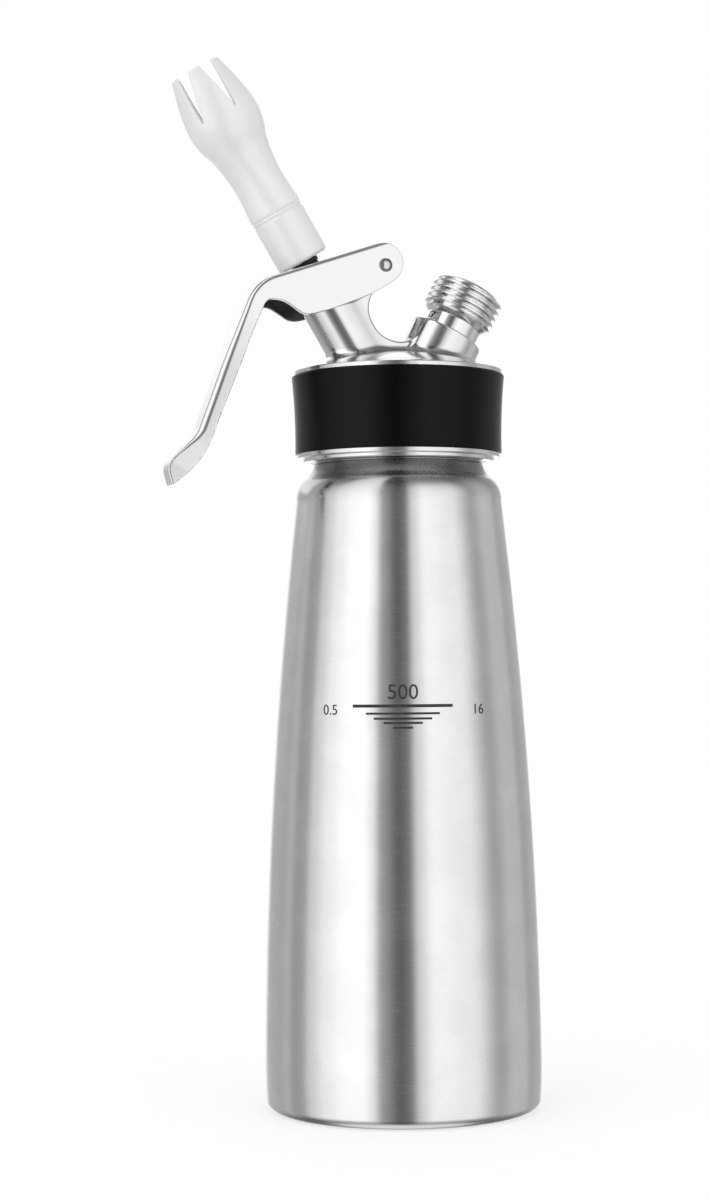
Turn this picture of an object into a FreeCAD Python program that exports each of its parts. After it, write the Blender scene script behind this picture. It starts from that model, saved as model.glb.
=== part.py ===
"""Lever-operated whipped cream dispenser, as a parametric assembly of separate pieces.

The origin is the centre of the bottle's foot, on the surface it stands on. +Z is up the
bottle, the lever lies towards -X and the charger inlet towards +X; Y is the width.
Lengths are millimetres and angles are degrees.
"""
import FreeCAD, Part
import math
import os
import re
from collections import namedtuple

import Sketcher

Vector = FreeCAD.Vector

# ---------------------------------------------------------------- driving sizes
SIZES = {
    # drawn bottle, with its drops from the mouth
    "bottle_wall": 0.9,
    "dish_rise": 3.0,
    "foot_radius": 39.7,
    "foot_rim": 5.2,
    "foot_round": 3.0,
    "foot_sweep": 170.0,
    "belly_radius": 40.0,
    "belly_height": 13.0,
    "flank_sweep": 1500.0,
    "shoulder_radius": 29.5,
    "shoulder_drop": 30.1,
    "shoulder_round": 8.5,
    "throat_radius": 25.6,
    "throat_drop": 23.0,
    "throat_round": 4.0,
    "neck_radius": 21.9,
    "neck_length": 19.4,
    "mouth_height": 204.4,
    # neck ring and the thread that holds the head
    "braze_gap": 0.05,
    "ring_radius": 23.6,
    "ring_length": 18.0,
    "thread_pitch": 3.0,
    "thread_depth": 1.3,
    "thread_gap": 0.33,
    "ridge_root": 1.7,
    "ridge_crest": 0.9,
    "nut_ridge_root": 1.4,
    "nut_ridge_crest": 0.7,
    "thread_length": 9.0,
    "ring_thread_drop": 14.9,
    # head gasket
    "gasket_bore": 20.2,
    "gasket_radius": 24.8,
    "gasket_height": 2.0,
    "seal_gap": 0.08,
    # head: skirt, lips, deck and ceiling, with drops and rises from the bottle's mouth
    "skirt_wall": 2.15,
    "skirt_drop": 19.0,
    "step_radius": 27.1,
    "lip_drop": 18.0,
    "lip_radius": 29.2,
    "sleeve_drop": 16.2,
    "sleeve_rise": 6.4,
    "flange_radius": 30.2,
    "flange_rise": 7.9,
    "deck_edge": 29.0,
    "deck_rise": 5.6,
    "recess_radius": 17.5,
    "recess_wall": 1.6,
    "recess_rise": 5.0,
    # grip sleeve
    "sleeve_gap": 0.05,
    "sleeve_foot_radius": 29.75,
    "sleeve_crown_radius": 30.75,
    "sleeve_sweep": 180.0,
    # dispensing valve, measured along its own axis from the bottle's axis
    "valve_drop": 8.4,
    "valve_tilt": 30.5,
    "seat_level": 12.0,
    "tube_radius": 7.9,
    "tube_top": 44.0,
    "chamber_radius": 5.0,
    "gland_level": 24.0,
    "gland_radius": 6.4,
    "stem_radius": 3.4,
    "stem_bore": 1.8,
    "stem_bottom": 7.2,
    "stem_top": 66.0,
    "stem_bore_start": 14.5,
    "port_radius": 1.2,
    "port_level": 17.0,
    "shoulder_step": 0.9,
    "shoulder_length": 1.6,
    "running_gap": 0.06,
    "seal_radius": 6.4,
    "seal_height": 2.4,
    "end_nut_radius": 5.2,
    "cord_radius": 1.42,
    "bush_height": 4.0,
    "spring_wire": 1.0,
    "spring_radius": 5.1,
    "spring_turns": 6.0,
    "collar_radius": 6.9,
    "collar_height": 2.6,
    "collar_round": 0.7,
    # tip thread on the stem
    "tip_pitch": 2.0,
    "tip_thread_depth": 0.6,
    "tip_thread_gap": 0.22,
    "tip_ridge_root": 0.9,
    "tip_ridge_crest": 0.5,
    "tip_nut_root": 1.0,
    "tip_nut_crest": 0.6,
    "tip_thread_start": 58.0,
    "tip_thread_length": 6.0,
    # tip gasket, decorator tip and its moulded-in insert
    "washer_radius": 4.6,
    "washer_height": 1.2,
    "tip_base": 55.3,
    "tip_foot_radius": 7.5,
    "tip_foot_round": 1.4,
    "groove_level": 70.5,
    "groove_depth": 0.45,
    "groove_width": 0.8,
    "tip_collar_radius": 7.85,
    "tip_waist_sweep": 47.0,
    "tip_flare_radius": 9.05,
    "tip_flare_level": 93.0,
    "tip_flare_sweep": 25.0,
    "tip_bulge_radius": 10.8,
    "tip_bulge_level": 100.0,
    "tip_petal_sweep": 90.0,
    "tip_end_radius": 7.8,
    "tip_end_level": 117.3,
    "tip_wall": 1.7,
    "tip_end_wall": 1.1,
    "slot_count": 6.0,
    "slot_root_level": 102.6,
    "slot_mouth": 4.2,
    "slot_root": 0.5,
    "slot_clocking": 42.0,
    "insert_radius": 5.4,
    "insert_start": 56.5,
    "insert_length": 10.5,
    "mould_gap": 0.02,
    # charger inlet, measured along its own axis from the bottle's axis
    "inlet_drop": 10.7,
    "inlet_tilt": 27.4,
    "boss_radius": 10.5,
    "boss_start": 20.0,
    "boss_top": 33.5,
    "shank_start": 25.0,
    "shank_radius": 7.2,
    "inlet_neck_radius": 8.25,
    "inlet_neck_top": 37.2,
    "inlet_core_radius": 9.5,
    "inlet_thread_depth": 1.15,
    "inlet_pitch": 1.95,
    "inlet_ridge_root": 1.75,
    "inlet_ridge_crest": 0.35,
    "inlet_thread_start": 39.2,
    "inlet_thread_length": 7.6,
    "inlet_top": 47.8,
    "inlet_chamfer": 0.8,
    "charger_bore": 4.75,
    "guide_start": 37.6,
    "holder_bore": 4.2,
    "holder_start": 28.0,
    "flap_bore": 3.6,
    "gas_bore": 1.5,
    "vent_radius": 0.75,
    "vent_level": 36.0,
    "vent_direction": 195.0,
    "holder_height": 5.6,
    "pin_radius": 1.2,
    "pin_start": 30.0,
    "pin_point": 37.0,
    "pin_bevel": 1.8,
    "inlet_seal_height": 1.5,
    "flap_radius": 3.2,
    "flap_height": 0.9,
    "flap_stem_radius": 0.9,
    "flap_stem_height": 1.6,
    # lever, its pivot measured across and along the valve's axis
    "lever_arm": 17.9,
    "pivot_level": 42.5,
    "lever_swing": 12.2,
    "lever_sheet": 1.5,
    "lever_crest": 6.3,
    "lever_press_gap": 0.15,
    "cheek_gap": 0.35,
    "deck_length": 31.7,
    "elbow_round": 12.0,
    "handle_lean": 21.5,
    "handle_length": 38.0,
    "handle_half_width": 5.25,
    "toe_kick": 24.5,
    "toe_kick_round": 10.0,
    "toe_length": 8.2,
    "toe_curl": 62.0,
    "toe_curl_round": 4.5,
    "toe_tail": 3.5,
    "nose_reach": 5.5,
    "keel_reach": 5.3,
    "keel_depth": 13.0,
    "heel_reach": 26.7,
    "heel_depth": 13.7,
    "notch_start_reach": 29.3,
    "notch_start_depth": 10.9,
    "notch_middle_reach": 31.8,
    "notch_middle_depth": 8.0,
    "notch_end_reach": 35.9,
    "notch_end_depth": 6.3,
    "flange_start": 2.5,
    "flange_top_depth": 4.7,
    "flange_foot_depth": 4.0,
    "flange_toe_depth": 5.6,
    "taper_drop": 12.7,
    "taper_length": 16.0,
    "stem_slot_half_width": 3.9,
    "stem_slot_clearance": 0.4,
    "stem_slot_swing": 2.0,
    # lever pin
    "pin_hole_radius": 1.85,
    "lever_pin_radius": 1.7,
    "lever_pin_dome": 0.35,
    "lever_pin_proud": 0.25,
    # web that carries the pivot
    "web_half_width": 6.2,
    "ear_gap": 0.35,
    "ear_side_gap": 0.3,
    "web_shoulder_level": 41.5,
    "web_reach": 7.0,
    "web_root_rise": 1.7,
    "window_radius": 9.2,
    "window_offset": 0.9,
    "window_rise": 17.3,
}

doc = FreeCAD.newDocument("cream_dispenser")
sheet = doc.addObject("Spreadsheet::Sheet", "sizes")
for row, (alias, number) in enumerate(SIZES.items(), start=1):
    sheet.set(f"A{row}", alias)
    sheet.set(f"B{row}", str(number))
    sheet.setAlias(f"B{row}", alias)
doc.recompute()

# ---------------------------------------------------------------- sizes that follow
DISH_RADIUS = "(foot_radius - foot_rim)"
SHOULDER_HEIGHT = "(mouth_height - shoulder_drop)"
THROAT_HEIGHT = "(mouth_height - throat_drop)"
NECK_START = "(mouth_height - neck_length)"
RING_START = "(mouth_height - ring_length)"
RING_THREAD_START = "(mouth_height - ring_thread_drop)"
SKIRT_BOTTOM = "(mouth_height - skirt_drop)"
LIP_BOTTOM = "(mouth_height - lip_drop)"
SLEEVE_BOTTOM = "(mouth_height - sleeve_drop)"
SLEEVE_TOP = "(mouth_height + sleeve_rise)"
FLANGE_TOP = "(mouth_height + flange_rise)"
VALVE_HEIGHT = "(mouth_height - valve_drop)"
INLET_HEIGHT = "(mouth_height - inlet_drop)"
WEB_ROOT = f"({FLANGE_TOP} + web_root_rise)"
WINDOW_HEIGHT = f"({FLANGE_TOP} + window_rise)"
SKIRT_BORE = "(ring_radius + thread_depth + thread_gap)"
SKIRT_RADIUS = f"({SKIRT_BORE} + skirt_wall)"
NUT_CREST = "(ring_radius + thread_gap)"
CEILING = "(mouth_height + gasket_height + 2 * seal_gap)"
STEM_BORE_CLEAR = "(stem_radius + running_gap)"
CHEEK_INNER = "(tube_radius + cheek_gap)"
CHEEK_OUTER = f"({CHEEK_INNER} + lever_sheet)"
WEB_FACE = f"({CHEEK_INNER} - ear_side_gap)"
COLLAR_CROWN = "(collar_radius - collar_round)"
COLLAR_TOP = (f"(pivot_level + (lever_crest - lever_sheet + (lever_arm - {COLLAR_CROWN}) * sin(lever_swing))"
              " / cos(lever_swing) - lever_press_gap)")
COLLAR_BOTTOM = f"({COLLAR_TOP} - collar_height)"
EAR_RADIUS = "(lever_crest - lever_sheet - ear_gap)"
SEAL_TOP = "(seat_level - seal_gap)"
SEAL_BOTTOM = f"({SEAL_TOP} - seal_height)"
BUSH_START = "(gland_level + 2 * cord_radius + 2 * seal_gap)"
BUSH_TOP = f"({BUSH_START} + bush_height)"
PIVOT_X = "(lever_arm * cos(valve_tilt) - pivot_level * sin(valve_tilt))"
PIVOT_Z = f"({VALVE_HEIGHT} + lever_arm * sin(valve_tilt) + pivot_level * cos(valve_tilt))"
TAPER_TOP = f"({PIVOT_Z} - taper_drop)"
TAPER_FOOT = f"({TAPER_TOP} - taper_length)"
TIP_CORE = "(stem_radius - tip_thread_depth)"
TIP_NUT_CREST = f"({TIP_CORE} + tip_thread_gap)"
TIP_NUT_ROOT = "(stem_radius + tip_thread_gap)"
BOSS_BORE = "(shank_radius + braze_gap)"
HOLDER_TOP = "(holder_start + holder_height)"
THREAD_BURY = 0.25


def bound(text):
    """Turn size names into references to the sheet's cells."""
    return re.sub(r"[a-z][a-z_]+", lambda m: f"sizes.{m[0]}" if m[0] in SIZES else m[0], str(text))


def size(text):
    """Value of an expression of size names."""
    return float(sheet.evalExpression(bound(text)))


# ---------------------------------------------------------------- frames
Frame = namedtuple("Frame", "x z axis angle")
UPRIGHT = Frame("0", "0", Vector(0, 1, 0), "0")
VALVE = Frame("0", VALVE_HEIGHT, Vector(0, 1, 0), "-valve_tilt")
INLET = Frame("0", INLET_HEIGHT, Vector(0, 1, 0), "inlet_tilt")
PIVOT = Frame(PIVOT_X, PIVOT_Z, Vector(1, 0, 0), "90")


def place(item, frame):
    """Put an object in one of the frames, bound to the sheet."""
    item.Placement = FreeCAD.Placement(
        Vector(size(frame.x), 0, size(frame.z)), FreeCAD.Rotation(frame.axis, size(frame.angle)))
    if frame is not UPRIGHT:
        item.setExpression("Placement.Base.x", bound(frame.x))
        item.setExpression("Placement.Base.z", bound(frame.z))
        item.setExpression("Placement.Rotation.Angle", bound(frame.angle))
    return item


# ---------------------------------------------------------------- sketches and bodies
Corner = namedtuple("Corner", "across along bend side", defaults=(None, 1))
# bend is the radius of an arc that leaves the corner; side 1 bows it left of the way it runs


def origin_part(body, role):
    return next(item for item in body.Origin.OriginFeatures if item.Role == role)


def arc_through(start, end, radius, side):
    """Arc of a circle between two points, bowed to the left (1) or right (-1)."""
    chord = end - start
    middle = start + chord * 0.5
    left = Vector(-chord.y, chord.x, 0).normalize()
    rise = math.sqrt(max(radius**2 - (chord.Length / 2) ** 2, 0))
    centre = middle - left * (side * rise)
    top = centre + left * (side * radius)
    return Part.Arc(start, top, end)


def sketch(body, name, corners, plane="XZ_Plane"):
    """Closed outline whose corners and arc radii are bound to the sheet."""
    outline = body.newObject("Sketcher::SketchObject", name)
    outline.AttachmentSupport = [(origin_part(body, plane), "")]
    outline.MapMode = "FlatFace"
    points = [Vector(size(c.across), size(c.along), 0) for c in corners]
    ends = []
    for index, corner in enumerate(corners):
        start, end = points[index], points[(index + 1) % len(points)]
        if corner.bend is None:
            outline.addGeometry(Part.LineSegment(start, end))
            ends.append((1, 2))
        else:
            outline.addGeometry(arc_through(start, end, size(corner.bend), corner.side))
            # a sketched arc runs anticlockwise, so one bowed to the left starts at its second end
            ends.append((2, 1) if corner.side > 0 else (1, 2))
    for index, corner in enumerate(corners):
        following = (index + 1) % len(corners)
        outline.addConstraint(
            Sketcher.Constraint("Coincident", index, ends[index][1], following, ends[following][0]))
        for kind, text, value in (("DistanceX", corner.across, points[index].x),
                                  ("DistanceY", corner.along, points[index].y)):
            number = outline.addConstraint(
                Sketcher.Constraint(kind, -1, 1, index, ends[index][0], value))
            outline.setExpression(f"Constraints[{number}]", bound(text))
        if corner.bend is not None:
            number = outline.addConstraint(Sketcher.Constraint("Radius", index, size(corner.bend)))
            outline.setExpression(f"Constraints[{number}]", bound(corner.bend))
    return outline


def turned(label, corners, frame=UPRIGHT):
    """Body turned about its frame's own axis from a half outline."""
    body = doc.addObject("PartDesign::Body", label)
    revolve = body.newObject("PartDesign::Revolution", label + "_turning")
    revolve.Profile = sketch(body, label + "_outline", corners)
    revolve.ReferenceAxis = (origin_part(body, "Z_Axis"), [""])
    revolve.Angle = 360
    return place(body, frame)


def thread(body, root, crest, root_width, crest_width, start, length, pitch):
    """Helical ridge standing on a turned body, buried a little in its wall."""
    bury = -THREAD_BURY if size(crest) > size(root) else THREAD_BURY
    foot = f"{root} + {bury}"
    helix = body.newObject("PartDesign::AdditiveHelix", body.Name + "_thread")
    helix.Profile = sketch(body, body.Name + "_ridge", [
        Corner(foot, f"{start} - {root_width} / 2"),
        Corner(crest, f"{start} - {crest_width} / 2"),
        Corner(crest, f"{start} + {crest_width} / 2"),
        Corner(foot, f"{start} + {root_width} / 2"),
    ])
    helix.ReferenceAxis = (origin_part(body, "Z_Axis"), [""])
    helix.Mode = 0
    helix.setExpression("Pitch", bound(pitch))
    helix.setExpression("Height", bound(length))
    doc.recompute()
    return helix


def ring(inner, outer, bottom, top):
    """Corners of a plain ring's half outline."""
    return [Corner(inner, bottom), Corner(outer, bottom), Corner(outer, top), Corner(inner, top)]


def cylinder(name, radius, bottom, top, frame):
    """Cylinder along a frame's axis, from one level to another."""
    solid = doc.addObject("Part::Cylinder", name)
    solid.setExpression("Radius", bound(radius))
    solid.setExpression("Height", bound(f"{top} - {bottom}"))
    x = f"{frame.x} + {bottom} * sin({frame.angle})" if frame is not UPRIGHT else "0"
    z = f"{frame.z} + {bottom} * cos({frame.angle})" if frame is not UPRIGHT else bottom
    return place(solid, Frame(x, z, frame.axis, frame.angle))


def joined(label, pieces):
    """One solid from several that overlap."""
    union = doc.addObject("Part::MultiFuse", label)
    union.Shapes = pieces
    return union


def cut(label, base, tool):
    """One object less another."""
    result = doc.addObject("Part::Cut", label)
    result.Base = base
    result.Tool = tool
    return result


def shaped(label, shape):
    """Object that holds a shape worked out from the sheet's values."""
    feature = doc.addObject("Part::Feature", label)
    feature.Shape = shape
    return feature


# ---------------------------------------------------------------- bottle
def bottle_shell():
    """Drawn one-piece bottle: the outside from the foot up to the mouth, then the inside back down."""
    dish = f"({DISH_RADIUS} ^ 2 + dish_rise ^ 2) / (2 * dish_rise)"
    return turned("bottle_shell", [
        Corner("0", "dish_rise", dish),
        Corner(DISH_RADIUS, "0"),
        Corner("foot_radius - foot_round", "0", "foot_round", -1),
        Corner("foot_radius", "foot_round", "foot_sweep", -1),
        Corner("belly_radius", "belly_height", "flank_sweep", -1),
        Corner("shoulder_radius", SHOULDER_HEIGHT, "shoulder_round", -1),
        Corner("throat_radius", THROAT_HEIGHT, "throat_round"),
        Corner("neck_radius", NECK_START),
        Corner("neck_radius", "mouth_height"),
        Corner("neck_radius - bottle_wall", "mouth_height"),
        Corner("neck_radius - bottle_wall", NECK_START, "throat_round + bottle_wall", -1),
        Corner("throat_radius - 0.7 * bottle_wall", f"{THROAT_HEIGHT} - 0.7 * bottle_wall",
               "shoulder_round - bottle_wall"),
        Corner("shoulder_radius - bottle_wall", SHOULDER_HEIGHT, "flank_sweep"),
        Corner("belly_radius - bottle_wall", "belly_height", "foot_sweep"),
        Corner("foot_radius - bottle_wall", "foot_round", "foot_round - bottle_wall"),
        Corner("foot_radius - foot_round", "bottle_wall"),
        Corner(DISH_RADIUS, "bottle_wall", dish, -1),
        Corner("0", "dish_rise + bottle_wall"),
    ])


def neck_ring():
    """Threaded ring brazed round the neck, level with the mouth."""
    body = turned("neck_ring", ring("neck_radius + braze_gap", "ring_radius", RING_START, "mouth_height"))
    thread(body, "ring_radius", "ring_radius + thread_depth", "ridge_root", "ridge_crest",
           RING_THREAD_START, "thread_length", "thread_pitch")
    return body


def head_gasket():
    """Flat rubber ring between the bottle's mouth and the head's ceiling."""
    return turned("head_gasket", ring("gasket_bore", "gasket_radius", "mouth_height + seal_gap",
                                      "mouth_height + seal_gap + gasket_height"))


# ---------------------------------------------------------------- head
def head_blank():
    """Skirt, lips, deck and ceiling of the head, with the thread inside the skirt."""
    blank = turned("head_blank", [
        Corner(SKIRT_BORE, SKIRT_BOTTOM),
        Corner("step_radius", SKIRT_BOTTOM),
        Corner("step_radius", LIP_BOTTOM),
        Corner("lip_radius", LIP_BOTTOM),
        Corner("lip_radius", SLEEVE_BOTTOM),
        Corner(SKIRT_RADIUS, SLEEVE_BOTTOM),
        Corner(SKIRT_RADIUS, SLEEVE_TOP),
        Corner("flange_radius", SLEEVE_TOP),
        Corner("flange_radius", FLANGE_TOP),
        Corner("deck_edge", FLANGE_TOP, "(deck_edge ^ 2 + deck_rise ^ 2) / (2 * deck_rise)", -1),
        Corner("0", f"{FLANGE_TOP} + deck_rise"),
        Corner("0", f"{CEILING} + recess_wall + recess_rise",
               "(recess_radius ^ 2 + recess_rise ^ 2) / (2 * recess_rise)"),
        Corner("recess_radius", f"{CEILING} + recess_wall"),
        Corner("recess_radius", CEILING),
        Corner(SKIRT_BORE, CEILING),
    ])
    thread(blank, SKIRT_BORE, NUT_CREST, "nut_ridge_root", "nut_ridge_crest",
           f"({RING_THREAD_START} - thread_pitch / 2)", "thread_length", "thread_pitch")
    return blank


def across(name, radius, x, z, half_width):
    """Cylinder along Y, centred on the plane of symmetry."""
    solid = doc.addObject("Part::Cylinder", name)
    solid.setExpression("Radius", bound(radius))
    solid.setExpression("Height", bound(f"2 * {half_width}"))
    solid.Placement = FreeCAD.Placement(
        Vector(size(x), size(half_width), size(z)), FreeCAD.Rotation(Vector(1, 0, 0), 90))
    solid.setExpression("Placement.Base.x", bound(x))
    solid.setExpression("Placement.Base.y", bound(half_width))
    solid.setExpression("Placement.Base.z", bound(z))
    return solid


def pivot_web():
    """Upright web between the valve tube and the inlet boss, with its round window."""
    web = doc.addObject("PartDesign::Body", "pivot_web")
    pad = web.newObject("PartDesign::Pad", "pivot_web_pad")
    pad.Profile = sketch(web, "pivot_web_outline", [
        Corner("-web_shoulder_level * sin(valve_tilt)",
               f"{VALVE_HEIGHT} + web_shoulder_level * cos(valve_tilt)"),
        Corner(f"-({WEB_ROOT} - {VALVE_HEIGHT}) * tan(valve_tilt)", WEB_ROOT),
        Corner("web_reach", WEB_ROOT),
        Corner("web_reach", f"{WINDOW_HEIGHT} - window_radius"),
        Corner(f"{PIVOT_X} + {EAR_RADIUS}", WINDOW_HEIGHT),
        Corner(f"{PIVOT_X} + {EAR_RADIUS}", PIVOT_Z),
        Corner(f"{PIVOT_X} - {EAR_RADIUS} * sin(valve_tilt - lever_swing)",
               f"{PIVOT_Z} + {EAR_RADIUS} * cos(valve_tilt - lever_swing)"),
    ])
    pad.Midplane = True
    pad.setExpression("Length", bound("2 * web_half_width"))
    window = across("web_window", "window_radius", "-window_offset", WINDOW_HEIGHT, "tube_radius")
    return cut("windowed_web", web, window)


def head_casting():
    """The whole head in one piece: blank, valve tube, inlet boss, web and pivot ear."""
    metal = joined("head_metal", [
        head_blank(),
        cylinder("valve_tube", "tube_radius", "seat_level", "tube_top", VALVE),
        cylinder("inlet_boss", "boss_radius", "boss_start", "boss_top", INLET),
        pivot_web(),
        across("pivot_ear", EAR_RADIUS, PIVOT_X, PIVOT_Z, WEB_FACE),
    ])
    bores = joined("head_bores", [
        cylinder("chamber_bore", "chamber_radius", "(seat_level - 1)", "gland_level", VALVE),
        cylinder("gland_bore", "gland_radius", "gland_level", "(tube_top + 1)", VALVE),
        cylinder("shank_bore", BOSS_BORE, "shank_start", "(boss_top + 1)", INLET),
        cylinder("gas_passage", "gas_bore", "(boss_start - 1)", "shank_start", INLET),
        across("pivot_bore", "lever_pin_radius + mould_gap", PIVOT_X, PIVOT_Z, "(tube_radius + 1)"),
    ])
    return cut("head_casting", metal, bores)


def grip_sleeve():
    """Silicone band round the skirt, waisted between the two lips."""
    inner = f"{SKIRT_RADIUS} + sleeve_gap"
    return turned("grip_sleeve", [
        Corner(inner, f"{SLEEVE_BOTTOM} + sleeve_gap"),
        Corner("sleeve_foot_radius", f"{SLEEVE_BOTTOM} + sleeve_gap", "sleeve_sweep"),
        Corner("sleeve_crown_radius", f"{SLEEVE_TOP} - sleeve_gap"),
        Corner(inner, f"{SLEEVE_TOP} - sleeve_gap"),
    ])


# ---------------------------------------------------------------- dispensing valve
def valve_stem():
    """Hollow spindle with side ports at the foot and the tip's thread at the top."""
    shoulder = "stem_radius + shoulder_step"
    spindle = turned("stem_turning", [
        Corner("0", "stem_bottom"),
        Corner("stem_radius", "stem_bottom"),
        Corner("stem_radius", SEAL_TOP),
        Corner(shoulder, SEAL_TOP),
        Corner(shoulder, f"{SEAL_TOP} + shoulder_length"),
        Corner("stem_radius", f"{SEAL_TOP} + shoulder_length"),
        Corner("stem_radius", "tip_thread_start - tip_pitch"),
        Corner(TIP_CORE, "tip_thread_start - tip_pitch"),
        Corner(TIP_CORE, "stem_top"),
        Corner("stem_bore", "stem_top"),
        Corner("stem_bore", "stem_bore_start"),
        Corner("0", "stem_bore_start"),
    ], VALVE)
    thread(spindle, TIP_CORE, "stem_radius", "tip_ridge_root", "tip_ridge_crest",
           "tip_thread_start", "tip_thread_length", "tip_pitch")
    ports = across("stem_ports", "port_radius", "-port_level * sin(valve_tilt)",
                   f"{VALVE_HEIGHT} + port_level * cos(valve_tilt)", "chamber_radius")
    return cut("valve_stem", spindle, ports)


def valve_seal():
    """Rubber disc that closes against the foot of the valve tube."""
    return turned("valve_seal", ring("stem_radius + mould_gap", "seal_radius", SEAL_BOTTOM, SEAL_TOP), VALVE)


def seal_nut():
    """Hexagonal nut under the seal, at the stem's lower end."""
    hexagon = doc.addObject("Part::Prism", "seal_nut_hexagon")
    hexagon.Polygon = 6
    hexagon.setExpression("Circumradius", bound("end_nut_radius"))
    hexagon.setExpression("Height", bound(f"{SEAL_BOTTOM} - stem_bottom"))
    place(hexagon, Frame(f"{VALVE.x} + stem_bottom * sin({VALVE.angle})",
                         f"{VALVE.z} + stem_bottom * cos({VALVE.angle})", VALVE.axis, VALVE.angle))
    bore = cylinder("seal_nut_bore", "stem_radius + mould_gap", "(stem_bottom - 1)", "seat_level", VALVE)
    return cut("seal_nut", hexagon, bore)


def gland_ring():
    """Rubber O-ring that seals the stem in the gland."""
    torus = doc.addObject("Part::Torus", "gland_ring")
    torus.setExpression("Radius1", bound("(stem_radius + gland_radius) / 2"))
    torus.setExpression("Radius2", bound("cord_radius"))
    level = "(gland_level + seal_gap + cord_radius)"
    return place(torus, Frame(f"{VALVE.x} + {level} * sin({VALVE.angle})",
                              f"{VALVE.z} + {level} * cos({VALVE.angle})", VALVE.axis, VALVE.angle))


def guide_bush():
    """Plain bush that holds the gland ring down and guides the stem."""
    return turned("guide_bush", ring(STEM_BORE_CLEAR, "gland_radius - mould_gap", BUSH_START, BUSH_TOP), VALVE)


def stem_spring():
    """Coil spring that lifts the stem's collar."""
    spring = doc.addObject("PartDesign::Body", "stem_spring")
    wire = spring.newObject("Sketcher::SketchObject", "spring_wire_outline")
    wire.AttachmentSupport = [(origin_part(spring, "XZ_Plane"), "")]
    wire.MapMode = "FlatFace"
    start = f"{BUSH_TOP} + spring_wire / 2 + seal_gap"
    centre = Vector(size("spring_radius"), size(start), 0)
    wire.addGeometry(Part.Circle(centre, Vector(0, 0, 1), size("spring_wire / 2")))
    for kind, text, value in (("DistanceX", "spring_radius", centre.x), ("DistanceY", start, centre.y)):
        number = wire.addConstraint(Sketcher.Constraint(kind, -1, 1, 0, 3, value))
        wire.setExpression(f"Constraints[{number}]", bound(text))
    number = wire.addConstraint(Sketcher.Constraint("Radius", 0, size("spring_wire / 2")))
    wire.setExpression(f"Constraints[{number}]", bound("spring_wire / 2"))
    coil = spring.newObject("PartDesign::AdditiveHelix", "spring_coil")
    coil.Profile = wire
    coil.ReferenceAxis = (origin_part(spring, "Z_Axis"), [""])
    coil.Mode = 2
    coil.setExpression("Height", bound(f"{COLLAR_BOTTOM} - {BUSH_TOP} - spring_wire - 2 * seal_gap"))
    coil.setExpression("Turns", bound("spring_turns"))
    return place(spring, VALVE)


def lever_collar():
    """Round nut on the stem that the lever presses on, crowned at its rim."""
    return turned("lever_collar", [
        Corner(STEM_BORE_CLEAR, COLLAR_BOTTOM),
        Corner("collar_radius", COLLAR_BOTTOM),
        Corner("collar_radius", f"{COLLAR_TOP} - collar_round", "collar_round", -1),
        Corner(COLLAR_CROWN, COLLAR_TOP),
        Corner(STEM_BORE_CLEAR, COLLAR_TOP),
    ], VALVE)


# ---------------------------------------------------------------- decorator tip
def tip_gasket():
    """Black washer under the tip's foot."""
    top = "tip_base - seal_gap"
    return turned("tip_gasket", ring(STEM_BORE_CLEAR, "washer_radius", f"{top} - washer_height", top), VALVE)


def tip_insert():
    """Threaded bush moulded into the tip's foot."""
    insert = turned("tip_insert", ring(TIP_NUT_ROOT, "insert_radius", "insert_start",
                                       "insert_start + insert_length"), VALVE)
    thread(insert, TIP_NUT_ROOT, TIP_NUT_CREST, "tip_nut_root", "tip_nut_crest",
           "(tip_thread_start + tip_pitch / 2)", "tip_thread_length", "tip_pitch")
    return insert


def tip_slots():
    """Wedges that part the petals: narrow at the root, wide at the mouth."""
    root, mouth = size("slot_root_level"), size("tip_end_level") + 1
    reach = 2 * size("tip_bulge_radius")
    half_root, half_mouth = size("slot_root") / 2, size("slot_mouth") / 2
    wedges = []
    for count in range(int(size("slot_count"))):
        outline = Part.makePolygon([Vector(0, -half_root, root), Vector(0, half_root, root),
                                    Vector(0, half_mouth, mouth), Vector(0, -half_mouth, mouth),
                                    Vector(0, -half_root, root)])
        wedge = Part.Face(outline).extrude(Vector(reach, 0, 0))
        wedge.rotate(Vector(), Vector(0, 0, 1), size("slot_clocking") + 360 * count / size("slot_count"))
        wedges.append(wedge)
    return place(shaped("tip_slots", Part.makeCompound(wedges)), VALVE)


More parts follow.
